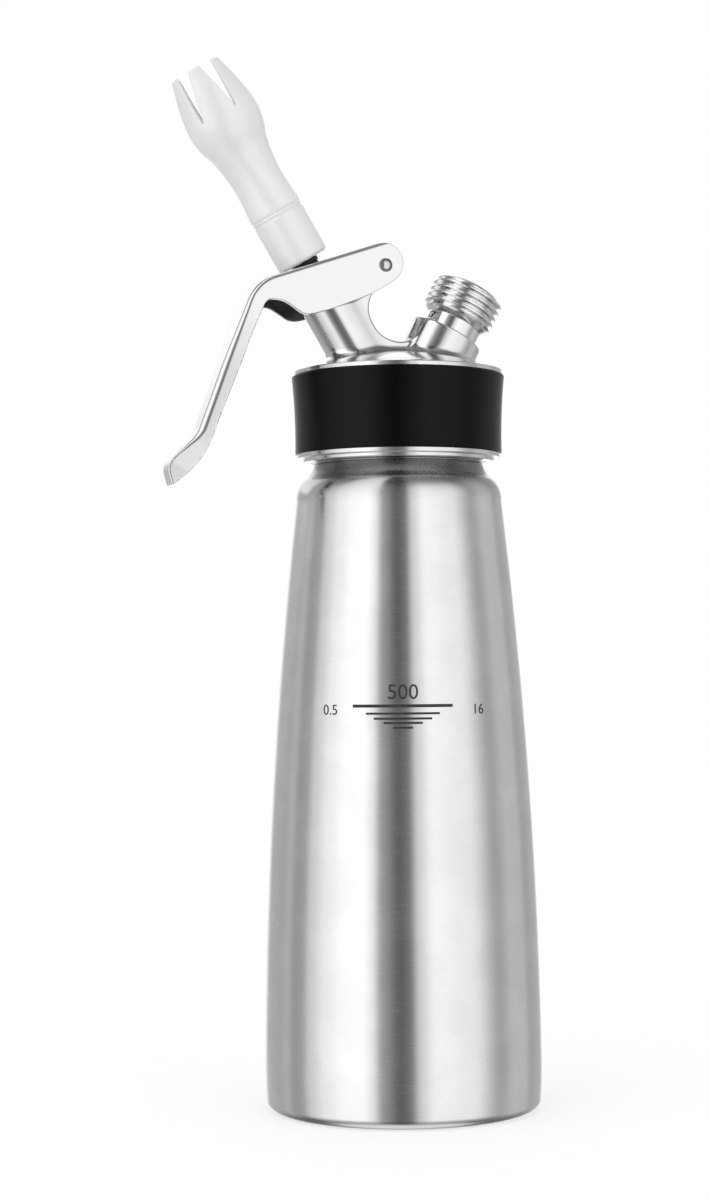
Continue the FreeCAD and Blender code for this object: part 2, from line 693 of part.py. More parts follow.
def decorator_tip():
    """Hollow plastic tip with a flared waist, ending in converging petals."""
    foot_bore = f"{TIP_NUT_ROOT} + 0.4"
    pocket = "insert_radius + mould_gap"
    pocket_top = "insert_start + insert_length + mould_gap"
    blank = turned("tip_blank", [
        Corner(foot_bore, "tip_base"),
        Corner("tip_foot_radius - tip_foot_round", "tip_base", "tip_foot_round", -1),
        Corner("tip_foot_radius", "tip_base + tip_foot_round"),
        Corner("tip_foot_radius", "groove_level - groove_width / 2"),
        Corner("tip_foot_radius - groove_depth", "groove_level - groove_width / 2"),
        Corner("tip_foot_radius - groove_depth", "groove_level + groove_width / 2"),
        Corner("tip_collar_radius", "groove_level + groove_width / 2", "tip_waist_sweep"),
        Corner("tip_flare_radius", "tip_flare_level", "tip_flare_sweep", -1),
        Corner("tip_bulge_radius", "tip_bulge_level", "tip_petal_sweep", -1),
        Corner("tip_end_radius", "tip_end_level"),
        Corner("tip_end_radius - tip_end_wall", "tip_end_level", "tip_petal_sweep"),
        Corner("tip_bulge_radius - tip_wall", "tip_bulge_level", "tip_flare_sweep"),
        Corner("tip_flare_radius - tip_wall", "tip_flare_level", "tip_waist_sweep", -1),
        Corner("tip_foot_radius - tip_wall", pocket_top),
        Corner(pocket, pocket_top),
        Corner(pocket, "insert_start - mould_gap"),
        Corner(foot_bore, "insert_start - mould_gap"),
    ], VALVE)
    return cut("decorator_tip", blank, tip_slots())


# ---------------------------------------------------------------- charger inlet
def charger_nipple():
    """Threaded inlet whose shank is pressed into the boss, with its vent."""
    bore_lip = "charger_bore + inlet_chamfer"
    nipple = turned("nipple_turning", [
        Corner("flap_bore", "shank_start + braze_gap"),
        Corner("shank_radius", "shank_start + braze_gap"),
        Corner("shank_radius", "boss_top + braze_gap"),
        Corner("inlet_neck_radius", "boss_top + braze_gap"),
        Corner("inlet_neck_radius", "inlet_neck_top"),
        Corner("inlet_core_radius", "inlet_neck_top + inlet_core_radius - inlet_neck_radius"),
        Corner("inlet_core_radius", "inlet_top - inlet_chamfer"),
        Corner("inlet_core_radius - inlet_chamfer", "inlet_top"),
        Corner(bore_lip, "inlet_top"),
        Corner("charger_bore", "inlet_top - inlet_chamfer"),
        Corner("charger_bore", "guide_start"),
        Corner("holder_bore", "guide_start"),
        Corner("holder_bore", "holder_start"),
        Corner("flap_bore", "holder_start"),
    ], INLET)
    thread(nipple, "inlet_core_radius", "inlet_core_radius + inlet_thread_depth", "inlet_ridge_root",
           "inlet_ridge_crest", "inlet_thread_start", "inlet_thread_length", "inlet_pitch")
    length = size("inlet_neck_radius") + 1
    turn = math.radians(size("vent_direction"))
    drill = Part.makeCylinder(size("vent_radius"), length, Vector(0, 0, size("vent_level")),
                              Vector(math.cos(turn), math.sin(turn), 0))
    return cut("charger_nipple", nipple, place(shaped("vent_drill", drill), INLET))


def pin_holder():
    """Plug in the inlet's bore that carries the piercing pin and the non-return flap."""
    pin_hole = "pin_radius + mould_gap"
    flap_hole = "flap_stem_radius + mould_gap"
    return turned("pin_holder", [
        Corner(flap_hole, "holder_start + seal_gap"),
        Corner("holder_bore - mould_gap", "holder_start + seal_gap"),
        Corner("holder_bore - mould_gap", HOLDER_TOP),
        Corner(pin_hole, HOLDER_TOP),
        Corner(pin_hole, "pin_start"),
        Corner(flap_hole, "pin_start"),
    ], INLET)


def piercing_pin():
    """Hollow steel needle that opens the gas charger."""
    return turned("piercing_pin", [
        Corner("pin_radius / 3", "pin_start"),
        Corner("pin_radius", "pin_start"),
        Corner("pin_radius", "pin_point - pin_bevel"),
        Corner("pin_radius / 2", "pin_point"),
        Corner("pin_radius / 3", "pin_point"),
    ], INLET)


def inlet_seal():
    """Rubber washer that the charger's neck seals on."""
    return turned("inlet_seal", ring("pin_radius + 3 * seal_gap", "holder_bore - sleeve_gap",
                                     f"{HOLDER_TOP} + mould_gap", f"{HOLDER_TOP} + inlet_seal_height"), INLET)


def return_flap():
    """Rubber flap whose stem plugs into the holder and whose disc covers the gas way."""
    disc_top = "(holder_start - seal_gap)"
    return turned("return_flap", [
        Corner("0", f"{disc_top} - flap_height"),
        Corner("flap_radius", f"{disc_top} - flap_height"),
        Corner("flap_radius", disc_top),
        Corner("flap_stem_radius", disc_top),
        Corner("flap_stem_radius", f"{disc_top} + flap_stem_height"),
        Corner("0", f"{disc_top} + flap_stem_height"),
    ], INLET)


# ---------------------------------------------------------------- lever
class Strip:
    """The lever's back seen from the side: straight runs and bends that follow each other."""

    def __init__(self, start, heading):
        self.ends = [(start, heading)]
        self.runs = []

    def run(self, length, turn=0.0):
        """Go on for a length, turning evenly through an angle in degrees (left is positive)."""
        self.runs.append((length, math.radians(turn)))
        self.ends.append(self.along(len(self.runs) - 1, length))

    def bend(self, radius, turn):
        self.run(radius * math.radians(abs(turn)), turn)

    def along(self, index, distance):
        """Point and heading at a distance along one run."""
        start, heading = self.ends[index]
        length, turn = self.runs[index]
        if not turn:
            return start + Vector(math.cos(heading), 0, math.sin(heading)) * distance, heading
        turned_to = heading + turn * distance / length
        across = Vector(math.sin(turned_to) - math.sin(heading), 0, math.cos(heading) - math.cos(turned_to))
        return start + across * (length / turn), turned_to

    def inside(self, index, distance, depth):
        """Point at a depth under one run, on the left of the way it goes."""
        point, heading = self.along(index, distance)
        return point + Vector(-math.sin(heading), 0, math.cos(heading)) * depth

    def edges(self, depth):
        """Lines and arcs of the whole back, moved inwards by a depth."""
        made = []
        for index, (length, turn) in enumerate(self.runs):
            start, middle, end = (self.inside(index, length * part, depth) for part in (0, 0.5, 1))
            made.append(Part.Arc(start, middle, end) if turn else Part.LineSegment(start, end))
        return made


def lever_back():
    """The back from its crest over the pivot, along deck and handle, to the curled toe."""
    deck_fall = size("valve_tilt - lever_swing")
    start = Vector(size(f"{PIVOT_X} - lever_crest * sin(valve_tilt - lever_swing)"), 0,
                   size(f"{PIVOT_Z} + lever_crest * cos(valve_tilt - lever_swing)"))
    strip = Strip(start, math.radians(180 + deck_fall))
    strip.run(size("deck_length"))
    strip.bend(size("elbow_round"), 90 - deck_fall - size("handle_lean"))
    strip.run(size("handle_length"))
    strip.bend(size("toe_kick_round"), -size("toe_kick"))
    strip.run(size("toe_length"))
    strip.bend(size("toe_curl_round"), size("toe_curl"))
    strip.run(size("toe_tail"))
    return strip


def prism(wire, half_width):
    """Solid either side of the plane of symmetry from an outline in that plane."""
    face = Part.Face(wire)
    face.translate(Vector(0, -half_width, 0))
    return face.extrude(Vector(0, 2 * half_width, 0))


def lever_side(strip):
    """Outline of the lever seen from the side, cheeks and flanges included."""
    def deck(reach, depth):
        return strip.inside(0, size(reach), size(depth))

    handle, kick, toe, tail = 2, 3, 4, 6
    nose = strip.inside(0, -size("nose_reach"), size("lever_crest"))
    keel = deck("keel_reach", "keel_depth")
    heel = deck("heel_reach", "heel_depth")
    notch_start = deck("notch_start_reach", "notch_start_depth")
    notch_end = deck("notch_end_reach", "notch_end_depth")
    flange_top = strip.inside(handle, size("flange_start"), size("flange_top_depth"))
    flange_foot = strip.inside(kick, 0, size("flange_foot_depth"))
    toe_middle = strip.inside(toe, size("toe_length") / 2, size("flange_toe_depth"))
    tail_end = strip.along(tail, size("toe_tail"))[0]
    lower = [
        Part.Arc(tail_end, toe_middle, flange_foot),
        Part.LineSegment(flange_foot, flange_top),
        Part.LineSegment(flange_top, notch_end),
        Part.Arc(notch_end, deck("notch_middle_reach", "notch_middle_depth"), notch_start),
        Part.LineSegment(notch_start, heel),
        Part.LineSegment(heel, keel),
        Part.Arc(keel, nose, strip.ends[0][0]),
    ]
    return Part.Wire([curve.toShape() for curve in strip.edges(0) + lower])


def lever_hollow(strip):
    """Outline of everything under the sheet of the back, seen from the side."""
    back = strip.edges(size("lever_sheet"))
    first, last = back[0].StartPoint, back[-1].EndPoint
    reach = size("tube_radius + lever_crest")
    front = first + Vector(2 * reach, 0, reach)
    corner = Vector(front.x, 0, last.z - reach)
    under = Vector(last.x, 0, corner.z)
    closing = [Part.LineSegment(last, under), Part.LineSegment(under, corner),
               Part.LineSegment(corner, front), Part.LineSegment(front, first)]
    return Part.Wire([curve.toShape() for curve in back + closing])


def lever_front(inset):
    """Outline of the lever seen from the front, less the thickness of its sheet."""
    wide = size(CHEEK_OUTER) - inset
    narrow = size("handle_half_width") - inset
    top = size(f"{PIVOT_Z} + 2 * lever_crest")
    foot = size(NECK_START) - size("lever_arm")
    corners = [(wide, top), (wide, size(TAPER_TOP)), (narrow, size(TAPER_FOOT)), (narrow, foot)]
    points = [Vector(0, y, z) for y, z in corners] + [Vector(0, -y, z) for y, z in reversed(corners)]
    face = Part.Face(Part.makePolygon(points + points[:1]))
    reach = size("foot_radius") * 3
    face.translate(Vector(-reach, 0, 0))
    return face.extrude(Vector(2 * reach, 0, 0))


def lever():
    """Pressed sheet lever: a channel over the valve, running down to a curled handle."""
    sheet_thickness = size("lever_sheet")
    strip = lever_back()
    wide = size(CHEEK_OUTER)
    outer = prism(lever_side(strip), wide).common(lever_front(0))
    hollow = prism(lever_hollow(strip), wide).common(lever_front(sheet_thickness))
    solid = outer.cut(hollow)

    pivot = Vector(size(PIVOT_X), -2 * wide, size(PIVOT_Z))
    pin_hole = Part.makeCylinder(size("pin_hole_radius"), 4 * wide, pivot, Vector(0, 1, 0))
    slot_back = size("stem_radius + stem_slot_clearance")
    slot_front = slot_back + size("stem_slot_swing")
    half = size("stem_slot_half_width")
    slot = Part.makeBox(slot_back + slot_front, 2 * half, size("2 * lever_arm"),
                        Vector(-slot_back, -half, size("pivot_level")))
    slot.Placement = FreeCAD.Placement(
        Vector(0, 0, size(VALVE.z)), FreeCAD.Rotation(VALVE.axis, size(VALVE.angle)))
    return shaped("lever", solid.cut(pin_hole).cut(slot))


def lever_pin():
    """Pin through both cheeks and the web, domed at its ends."""
    half = f"({CHEEK_OUTER} + lever_pin_proud)"
    dome = "(lever_pin_radius ^ 2 + lever_pin_dome ^ 2) / (2 * lever_pin_dome)"
    return turned("lever_pin", [
        Corner("0", f"-{half}", dome, -1),
        Corner("lever_pin_radius", f"lever_pin_dome - {half}"),
        Corner("lever_pin_radius", f"{half} - lever_pin_dome", dome, -1),
        Corner("0", half),
    ], PIVOT)


# ---------------------------------------------------------------- the assembly
PARTS = [
    bottle_shell, neck_ring, head_gasket,
    head_casting, grip_sleeve,
    charger_nipple, pin_holder, piercing_pin, inlet_seal, return_flap,
    gland_ring, guide_bush, stem_spring, lever_pin, lever,
    valve_stem, valve_seal, seal_nut, lever_collar,
    tip_gasket, tip_insert, decorator_tip,
]


def check(item):
    """Stop on an object that failed, or that has no sound single solid."""
    if {"Invalid", "Error"} & set(item.State):
        raise ValueError(f"{item.Label} failed: {item.State}")
    if item.Shape.isNull() or not item.Shape.isValid():
        raise ValueError(f"{item.Label} has no sound shape")


def main():
    nodes = [make() for make in PARTS]
    doc.recompute()
    for item in doc.Objects:
        if hasattr(item, "Shape") and not item.Shape.isNull() or item in nodes:
            check(item)
    for item in nodes:
        if len(item.Shape.Solids) != 1:
            raise ValueError(f"{item.Label} is {len(item.Shape.Solids)} solids")
    os.makedirs("parts", exist_ok=True)
    for item in nodes:
        item.Shape.exportStep(f"parts/{item.Label}.step")
        print(f"{item.Label}: {item.Shape.Volume:.1f} mm3")


main()
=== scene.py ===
"""Looks of a lever-operated whipped cream dispenser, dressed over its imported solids.

Lengths in the classes are millimetres, in the row frame: the origin is the centre of the
bottle's foot, +Z is up, the lever lies towards -X and the charger inlet towards +X.
"""
import logging
import math
from dataclasses import dataclass, field, replace
from enum import Enum
from typing import Callable, Iterable, Optional, Sequence

import bmesh
import bpy
import numpy as np
from mathutils import Matrix, Vector


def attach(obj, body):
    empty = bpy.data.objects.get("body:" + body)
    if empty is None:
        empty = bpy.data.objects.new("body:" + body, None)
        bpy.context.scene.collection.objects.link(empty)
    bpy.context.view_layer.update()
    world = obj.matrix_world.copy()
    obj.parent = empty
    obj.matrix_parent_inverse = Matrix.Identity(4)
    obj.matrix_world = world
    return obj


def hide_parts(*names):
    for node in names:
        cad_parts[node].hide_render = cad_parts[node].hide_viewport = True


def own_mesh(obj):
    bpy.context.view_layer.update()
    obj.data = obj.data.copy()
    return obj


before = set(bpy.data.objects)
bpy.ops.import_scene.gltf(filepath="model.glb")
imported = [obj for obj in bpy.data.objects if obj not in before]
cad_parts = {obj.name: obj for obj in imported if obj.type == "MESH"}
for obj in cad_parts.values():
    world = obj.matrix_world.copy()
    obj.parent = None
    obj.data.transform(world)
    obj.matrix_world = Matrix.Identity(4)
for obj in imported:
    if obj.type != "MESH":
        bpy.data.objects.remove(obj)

log = logging.getLogger("dispenser")

MM = 0.001
TINY = 1e-9
ARC_STEP = math.radians(4)
LEAST_ARC_STEPS = 3
EASE_STEPS = 6
EASE_SHARE = 0.45
SHARP_ANGLE = math.radians(38)
SHADING_WEIGHT = 60
LEAST_SLOPE = 1e-6
Field = Callable[[np.ndarray, np.ndarray, np.ndarray], np.ndarray]


# ---------------------------------------------------------------- working axes
@dataclass(frozen=True)
class Axis:
    """A working axis that stands on the bottle's own axis and leans in the XZ plane.

    Args:
        height: Where it leaves the bottle's axis.
        tilt: Lean in degrees, positive towards +X.
    """

    height: float = 0.0
    tilt: float = 0.0

    def matrix(self) -> Matrix:
        """Place of the axis as a matrix in metres."""
        return Matrix.Translation((0, 0, self.height * MM)) @ Matrix.Rotation(math.radians(self.tilt), 4, "Y")

    def local(self, x: np.ndarray, z: np.ndarray) -> tuple[np.ndarray, np.ndarray]:
        """Turn row coordinates into distances across and along the axis.

        Args:
            x: Row X.
            z: Row Z.

        Returns:
            Distance across, in the plane of symmetry, and distance along.
        """
        turn = math.radians(self.tilt)
        rise = z - self.height
        return x * math.cos(turn) - rise * math.sin(turn), x * math.sin(turn) + rise * math.cos(turn)

    def point(self, across: float, along: float) -> tuple[float, float]:
        """Turn distances across and along the axis into row coordinates.

        Args:
            across: Distance across, in the plane of symmetry.
            along: Distance along.

        Returns:
            Row X and Z.
        """
        turn = math.radians(self.tilt)
        return (across * math.cos(turn) + along * math.sin(turn),
                self.height - across * math.sin(turn) + along * math.cos(turn))


UPRIGHT = Axis()
VALVE = Axis(196.0, -30.5)
INLET = Axis(193.7, 27.4)
PIVOT = VALVE.point(17.9, 42.5)
DECK_FALL = 18.3
# Share of the lever's sheet beyond which a face counts as inside its channel and takes the painted shade.
INSIDE_SHADE_SHARE = 0.8


# ---------------------------------------------------------------- outlines and turned meshes
@dataclass(frozen=True)
class Corner:
    """A corner of a turned outline.

    Args:
        across: Radius.
        along: Level on the axis.
        ease: Radius of the rounding at this corner.
        bend: Radius of the arc that leaves it, or None for a straight line.
        side: 1 when that arc bows to the left of the way it runs, -1 to the right.
    """

    across: float
    along: float
    ease: float = 0.0
    bend: Optional[float] = None
    side: int = 1


def arc_points(start: np.ndarray, end: np.ndarray, radius: float, side: int,
               grain: float) -> list[np.ndarray]:
    """Points of an arc after its start, up to and with its end.

    Args:
        start: First point.
        end: Last point.
        radius: Radius of the arc.
        side: 1 bows left, -1 bows right.
        grain: Longest step between two points.

    Returns:
        The points in order.
    """
    chord = end - start
    span = float(np.hypot(*chord))
    radius = max(radius, span / 2)
    left = np.array([-chord[1], chord[0]]) / span
    centre = start + chord / 2 - left * (side * math.sqrt(max(radius**2 - span**2 / 4, 0.0)))
    sweep = 2 * math.asin(min(span / (2 * radius), 1.0))
    first = math.atan2(*(start - centre)[::-1])
    steps = max(LEAST_ARC_STEPS, math.ceil(sweep / ARC_STEP), math.ceil(radius * sweep / grain))
    turns = first - side * sweep * np.arange(1, steps + 1) / steps
    return [centre + radius * np.array([math.cos(t), math.sin(t)]) for t in turns[:-1]] + [end]


def outline(corners: Sequence[Corner], closed: bool, grain: float = 4.0) -> np.ndarray:
    """Points of an outline with its arcs drawn and its corners eased.

    Args:
        corners: The outline's corners in order.
        closed: Whether the last corner joins the first.
        grain: Longest step along an arc.

    Returns:
        An array of radius and level pairs.
    """
    points: list[np.ndarray] = []
    eases: list[float] = []
    count = len(corners)
    for index, corner in enumerate(corners):
        here = np.array([corner.across, corner.along])
        points.append(here)
        eases.append(corner.ease)
        if index == count - 1 and not closed:
            break
        following = corners[(index + 1) % count]
        if corner.bend is not None:
            there = np.array([following.across, following.along])
            between = arc_points(here, there, corner.bend, corner.side, grain)[:-1]
            points += between
            eases += [0.0] * len(between)
    eased: list[np.ndarray] = []
    total = len(points)
    for index, (point, ease) in enumerate(zip(points, eases)):
        if ease <= 0 or (not closed and index in (0, total - 1)):
            eased.append(point)
            continue
        back, ahead = points[index - 1] - point, points[(index + 1) % total] - point
        back_length, ahead_length = np.hypot(*back), np.hypot(*ahead)
        back, ahead = back / back_length, ahead / ahead_length
        opening = math.acos(float(np.clip(back @ ahead, -1, 1)))
        cut = min(ease / math.tan(opening / 2), EASE_SHARE * back_length, EASE_SHARE * ahead_length)
        for part in np.linspace(0, 1, EASE_STEPS):
            eased.append(point + back * cut * (1 - part) ** 2 + ahead * cut * part**2)
    return np.array(eased)


def weld_object(name: str, mesh: bpy.types.Mesh, axis: Axis) -> bpy.types.Object:
    """Link a mesh to the scene, at its working axis.

    Args:
        name: Name of the new piece.
        mesh: Its mesh, in metres, in the axis's own frame.
        axis: The axis it belongs to.

    Returns:
        The new object.
    """
    piece = bpy.data.objects.new(name, mesh)
    bpy.context.scene.collection.objects.link(piece)
    piece.matrix_world = axis.matrix()
    return piece


def smooth_mesh(name: str, vertices: Sequence[tuple[float, float, float]],
                faces: Sequence[tuple[int, ...]]) -> bpy.types.Mesh:
    """Make a mesh that shades smoothly and keeps its steep edges sharp.

    Args:
        name: Its name.
        vertices: Its points in metres.
        faces: Its faces as point numbers.

    Returns:
        The mesh.
    """
    mesh = bpy.data.meshes.new(name)
    mesh.from_pydata(vertices, [], faces)
    mesh.validate()
    mesh.shade_smooth()
    mesh.set_sharp_from_angle(angle=SHARP_ANGLE)
    return mesh


def turned(name: str, corners: Sequence[Corner], axis: Axis = UPRIGHT, closed: bool = True,
           segments: int = 144, grain: float = 4.0) -> bpy.types.Object:
    """Turn an outline about an axis.

    Args:
        name: Name of the new piece.
        corners: Outline, counterclockwise with radius to the right and level up.
        axis: Axis that it turns about.
        closed: Whether the outline is a loop clear of the axis; if not, it starts and ends on it.
        segments: Steps round the axis.
        grain: Longest step along the outline's arcs.

    Returns:
        The new object, shaded smooth with weighted normals.
    """
    points = outline(corners, closed, grain) * MM
    angles = np.arange(segments) * 2 * math.pi / segments
    vertices: list[tuple[float, float, float]] = []
    rows: list[list[int]] = []
    for radius, level in points:
        if radius < TINY:
            rows.append([len(vertices)] * segments)
            vertices.append((0.0, 0.0, float(level)))
        else:
            rows.append(list(range(len(vertices), len(vertices) + segments)))
            vertices += [(radius * math.cos(a), radius * math.sin(a), float(level)) for a in angles]
    faces: list[tuple[int, ...]] = []
    pairs = list(zip(rows, rows[1:])) + ([(rows[-1], rows[0])] if closed else [])
    for low, high in pairs:
        for step in range(segments):
            after = (step + 1) % segments
            loop = (low[step], low[after], high[after], high[step])
            unique = tuple(dict.fromkeys(loop))
            if len(unique) > 2:
                faces.append(unique)
    piece = weld_object(name, smooth_mesh(name, vertices, faces), axis)
    weighted = piece.modifiers.new("even shading", "WEIGHTED_NORMAL")
    weighted.keep_sharp = True
    weighted.weight = SHADING_WEIGHT
    return piece


# ---------------------------------------------------------------- solids from distance fields
def blend_min(a: np.ndarray, b: np.ndarray, ease: float) -> np.ndarray:
    """Union of two fields with a fillet of about the given size."""
    share = np.clip(0.5 + 0.5 * (b - a) / ease, 0, 1)
    return b * (1 - share) + a * share - ease * share * (1 - share)


def blend_max(a: np.ndarray, b: np.ndarray, ease: float) -> np.ndarray:
    """Intersection of two fields with its edge eased by about the given size."""
    return -blend_min(-a, -b, ease)


def polygon_field(x: np.ndarray, z: np.ndarray, corners: Sequence[tuple[float, float]]) -> np.ndarray:
    """Signed distance to a polygon, negative inside.

    Args:
        x: First coordinate.
        z: Second coordinate.
        corners: The polygon's corners in order.

    Returns:
        The distance, shaped as the coordinates broadcast.
    """
    x, z = np.broadcast_arrays(x, z)
    nearest = np.full(x.shape, np.inf)
    inside = np.zeros(x.shape, bool)
    for (ax, az), (bx, bz) in zip(corners, [*corners[1:], corners[0]]):
        ex, ez = bx - ax, bz - az
        share = np.clip(((x - ax) * ex + (z - az) * ez) / (ex * ex + ez * ez), 0, 1)
        gap = (x - ax - share * ex) ** 2 + (z - az - share * ez) ** 2
        nearest = np.minimum(nearest, gap)
        crosses = (az > z) != (bz > z)
        rise = np.where(abs(ez) < TINY, 1.0, ez)
        inside ^= crosses & (x < ax + (z - az) * ex / rise)
    return np.where(inside, -1, 1) * np.sqrt(nearest)


def capped(radial: np.ndarray, along: np.ndarray, radius: float, low: float, high: float,
           ease: float) -> np.ndarray:
    """Field of a cylinder with eased ends.

    Args:
        radial: Distance from its axis.
        along: Level on its axis.
        radius: Its radius.
        low: Level of its foot.
        high: Level of its top.
        ease: Rounding of its rims.

    Returns:
        The signed distance.
    """
    over_side = radial - radius + ease
    over_end = np.abs(along - (low + high) / 2) - (high - low) / 2 + ease
    outside = np.hypot(np.maximum(over_side, 0), np.maximum(over_end, 0))
    return outside + np.minimum(np.maximum(over_side, over_end), 0) - ease


@dataclass
class NetSolid:
    """A closed mesh laid over the zero surface of a distance field.

    Args:
        shape: The field, negative inside, in the axis's own frame.
        low: Lowest corner of the box that holds it.
        high: Highest corner of that box.
        step: Size of the net's cells.
        pulls: How often the points are pulled onto the surface.
        probe: Reach of the slope that a pull follows.
        stride: Longest pull, as a share of a cell.
        shading: Reach of the slope that shades the mesh, as a share of a cell.
    """

    shape: Field
    low: tuple[float, float, float]
    high: tuple[float, float, float]
    step: float
    pulls: int = 4
    probe: float = 0.02
    stride: float = 0.35
    shading: float = 0.12

    def net(self) -> tuple[np.ndarray, np.ndarray]:
        """Lay the net.

        Returns:
            Its points, and its four-sided faces as rows of point numbers.
        """
        low = np.array(self.low)
        counts = np.ceil((np.array(self.high) - low) / self.step).astype(int) + 1
        ticks = [low[i] + self.step * np.arange(counts[i]) for i in range(3)]
        values = self.shape(ticks[0][:, None, None], ticks[1][None, :, None], ticks[2][None, None, :])
        values = np.broadcast_to(values, counts).astype(np.float32)
        inside = values < 0
        offsets = [(i, j, k) for i in (0, 1) for j in (0, 1) for k in (0, 1)]
        held = np.zeros(counts - 1, np.int8)
        for i, j, k in offsets:
            held += inside[i:counts[0] - 1 + i, j:counts[1] - 1 + j, k:counts[2] - 1 + k]
        cells = np.argwhere((held > 0) & (held < 8))
        number = np.full(held.shape, -1, np.int32)
        number[tuple(cells.T)] = np.arange(len(cells))
        corner = {o: values[tuple((cells + o).T)] for o in offsets}
        total, hits = np.zeros((len(cells), 3)), np.zeros(len(cells))
        for a in offsets:
            for way in range(3):
                if a[way]:
                    continue
                b = tuple(c + (n == way) for n, c in enumerate(a))
                crossed = (corner[a] < 0) != (corner[b] < 0)
                share = np.where(crossed, corner[a] / np.where(crossed, corner[a] - corner[b], 1), 0)
                place = np.array(a, float)[None, :].repeat(len(cells), 0)
                place[:, way] = share
                total += place * crossed[:, None]
                hits += crossed
        points = low + self.step * (cells + total / hits[:, None])
        faces = []
        for way in range(3):
            u, v = (way + 1) % 3, (way + 2) % 3
            here = [slice(None)] * 3
            there = [slice(None)] * 3
            here[way], there[way] = slice(None, -1), slice(1, None)
            edges = np.argwhere(inside[tuple(here)] != inside[tuple(there)])
            clear = ((edges[:, u] > 0) & (edges[:, u] < counts[u] - 1)
                     & (edges[:, v] > 0) & (edges[:, v] < counts[v] - 1))
            edges = edges[clear]
            du, dv = np.eye(3, dtype=int)[u], np.eye(3, dtype=int)[v]
            loop = np.stack([number[tuple((edges - s).T)] for s in (du + dv, dv, 0 * du, du)], axis=1)
            outward = inside[tuple(edges.T)]
            faces.append(np.where(outward[:, None], loop, loop[:, ::-1]))
        return points, np.concatenate(faces)

    def slope(self, points: np.ndarray, reach: float) -> np.ndarray:
        """Gradient of the field at points, measured over a small reach.

        Args:
            points: The points, one in each row.
            reach: How far to each side it is measured.

        Returns:
            The gradient at each point.
        """
        found = np.zeros_like(points)
        for way in range(3):
            shift = np.zeros(3)
            shift[way] = reach
            found[:, way] = (self.shape(*(points + shift).T) - self.shape(*(points - shift).T)) / (2 * reach)
        return found

    def build(self, name: str, axis: Axis) -> bpy.types.Object:
        """Lay the net, pull it onto the surface and shade it by the field.

        Args:
            name: Name of the new piece.
            axis: Axis that the field is written on.

        Returns:
            The new object.
        """
        points, faces = self.net()
        for _ in range(self.pulls):
            slope = self.slope(points, self.probe)
            length = np.maximum((slope**2).sum(1), LEAST_SLOPE)
            move = -(self.shape(*points.T) / length)[:, None] * slope
            reach = np.maximum(np.linalg.norm(move, axis=1) / (self.stride * self.step), 1)
            points = points + move / reach[:, None]
        normals = self.slope(points, self.shading * self.step)
        normals /= np.maximum(np.linalg.norm(normals, axis=1), TINY)[:, None]
        mesh = bpy.data.meshes.new(name)
        mesh.from_pydata((points * MM).tolist(), [], faces.tolist())
        mesh.shade_smooth()
        mesh.normals_split_custom_set_from_vertices(normals.tolist())
        return weld_object(name, mesh, axis)


# ---------------------------------------------------------------- shader groups
class Nodes:
    """Shorthand for making nodes in one tree."""

    def __init__(self, tree: bpy.types.NodeTree) -> None:
        """Work in a tree."""
        self.tree = tree

    def add(self, kind: str, **settings: object) -> bpy.types.Node:
        """Make a node and set its plain properties.

        Args:
            kind: Its type.
            **settings: Its properties.

        Returns:
            The node.
        """
        node = self.tree.nodes.new(kind)
        for key, value in settings.items():
            setattr(node, key, value)
        return node

    def link(self, source: bpy.types.NodeSocket, target: bpy.types.NodeSocket) -> None:
        """Join an output to an input."""
        self.tree.links.new(source, target)

    def give(self, slot: bpy.types.NodeSocket, value: object) -> None:
        """Link an input to a socket, or set it to a plain value.

        Args:
            slot: The input.
            value: A socket or a plain value.
        """
        if isinstance(value, bpy.types.NodeSocket):
            self.link(value, slot)
        else:
            slot.default_value = value

    def math(self, operation: str, *values: object) -> bpy.types.NodeSocket:
        """Make a math node from numbers and sockets.

        Args:
            operation: What it works out.
            *values: Numbers and sockets.

        Returns:
            Its output.
        """
        node = self.add("ShaderNodeMath", operation=operation)
        for slot, value in zip(node.inputs, values):
            self.give(slot, value)
        return node.outputs[0]

    def spread(self, value: bpy.types.NodeSocket, from_low: float, from_high: float,
               low: float = 0.0, high: float = 1.0) -> bpy.types.NodeSocket:
        """Map a value from one range to another, smoothly at the ends.

        Args:
            value: The value.
            from_low: Value that gives low.
            from_high: Value that gives high.
            low: Start of the new range.
            high: End of the new range.

        Returns:
            The mapped value.
        """
        node = self.add("ShaderNodeMapRange", interpolation_type="SMOOTHSTEP")
        for slot, number in zip(node.inputs, (value, from_low, from_high, low, high)):
            self.give(slot, number)
        return node.outputs["Result"]

    def mix(self, share: object, first: object, second: object) -> bpy.types.NodeSocket:
        """Mix two colours by a share.

        Args:
            share: Share of the second, as a number or a socket.
            first: First colour.
            second: Second colour.

        Returns:
            The mixed colour.
        """
        node = self.add("ShaderNodeMix", data_type="RGBA")
        for label, value in (("Factor", share), ("A", first), ("B", second)):
            self.give(node.inputs[label], value)
        return node.outputs["Result"]

    def parts(self, place: str) -> bpy.types.NodeOutputs:
        """Split a texture coordinate.

        Args:
            place: Which one, such as Object or Generated.

        Returns:
            Its X, Y and Z.
        """
        parts = self.add("ShaderNodeSeparateXYZ")
        self.link(self.add("ShaderNodeTexCoord").outputs[place], parts.inputs[0])
        return parts.outputs

    def noise(self, vector: object, dimensions: str, scale: object, detail: float,
              roughness: float = 0.5) -> bpy.types.NodeSocket:
        """Make a noise texture, and return its value.

        Args:
            vector: Where it is read.
            dimensions: 2D or 3D.
            scale: Cells per unit, as a number or a socket.
            detail: Octaves.
            roughness: Strength of each octave against the one before.

        Returns:
            The noise, about 0.5.
        """
        node = self.add("ShaderNodeTexNoise", noise_dimensions=dimensions)
        values = {"Vector": vector, "Scale": scale, "Detail": detail, "Roughness": roughness}
        for label, value in values.items():
            self.give(node.inputs[label], value)
        return node.outputs["Fac"]


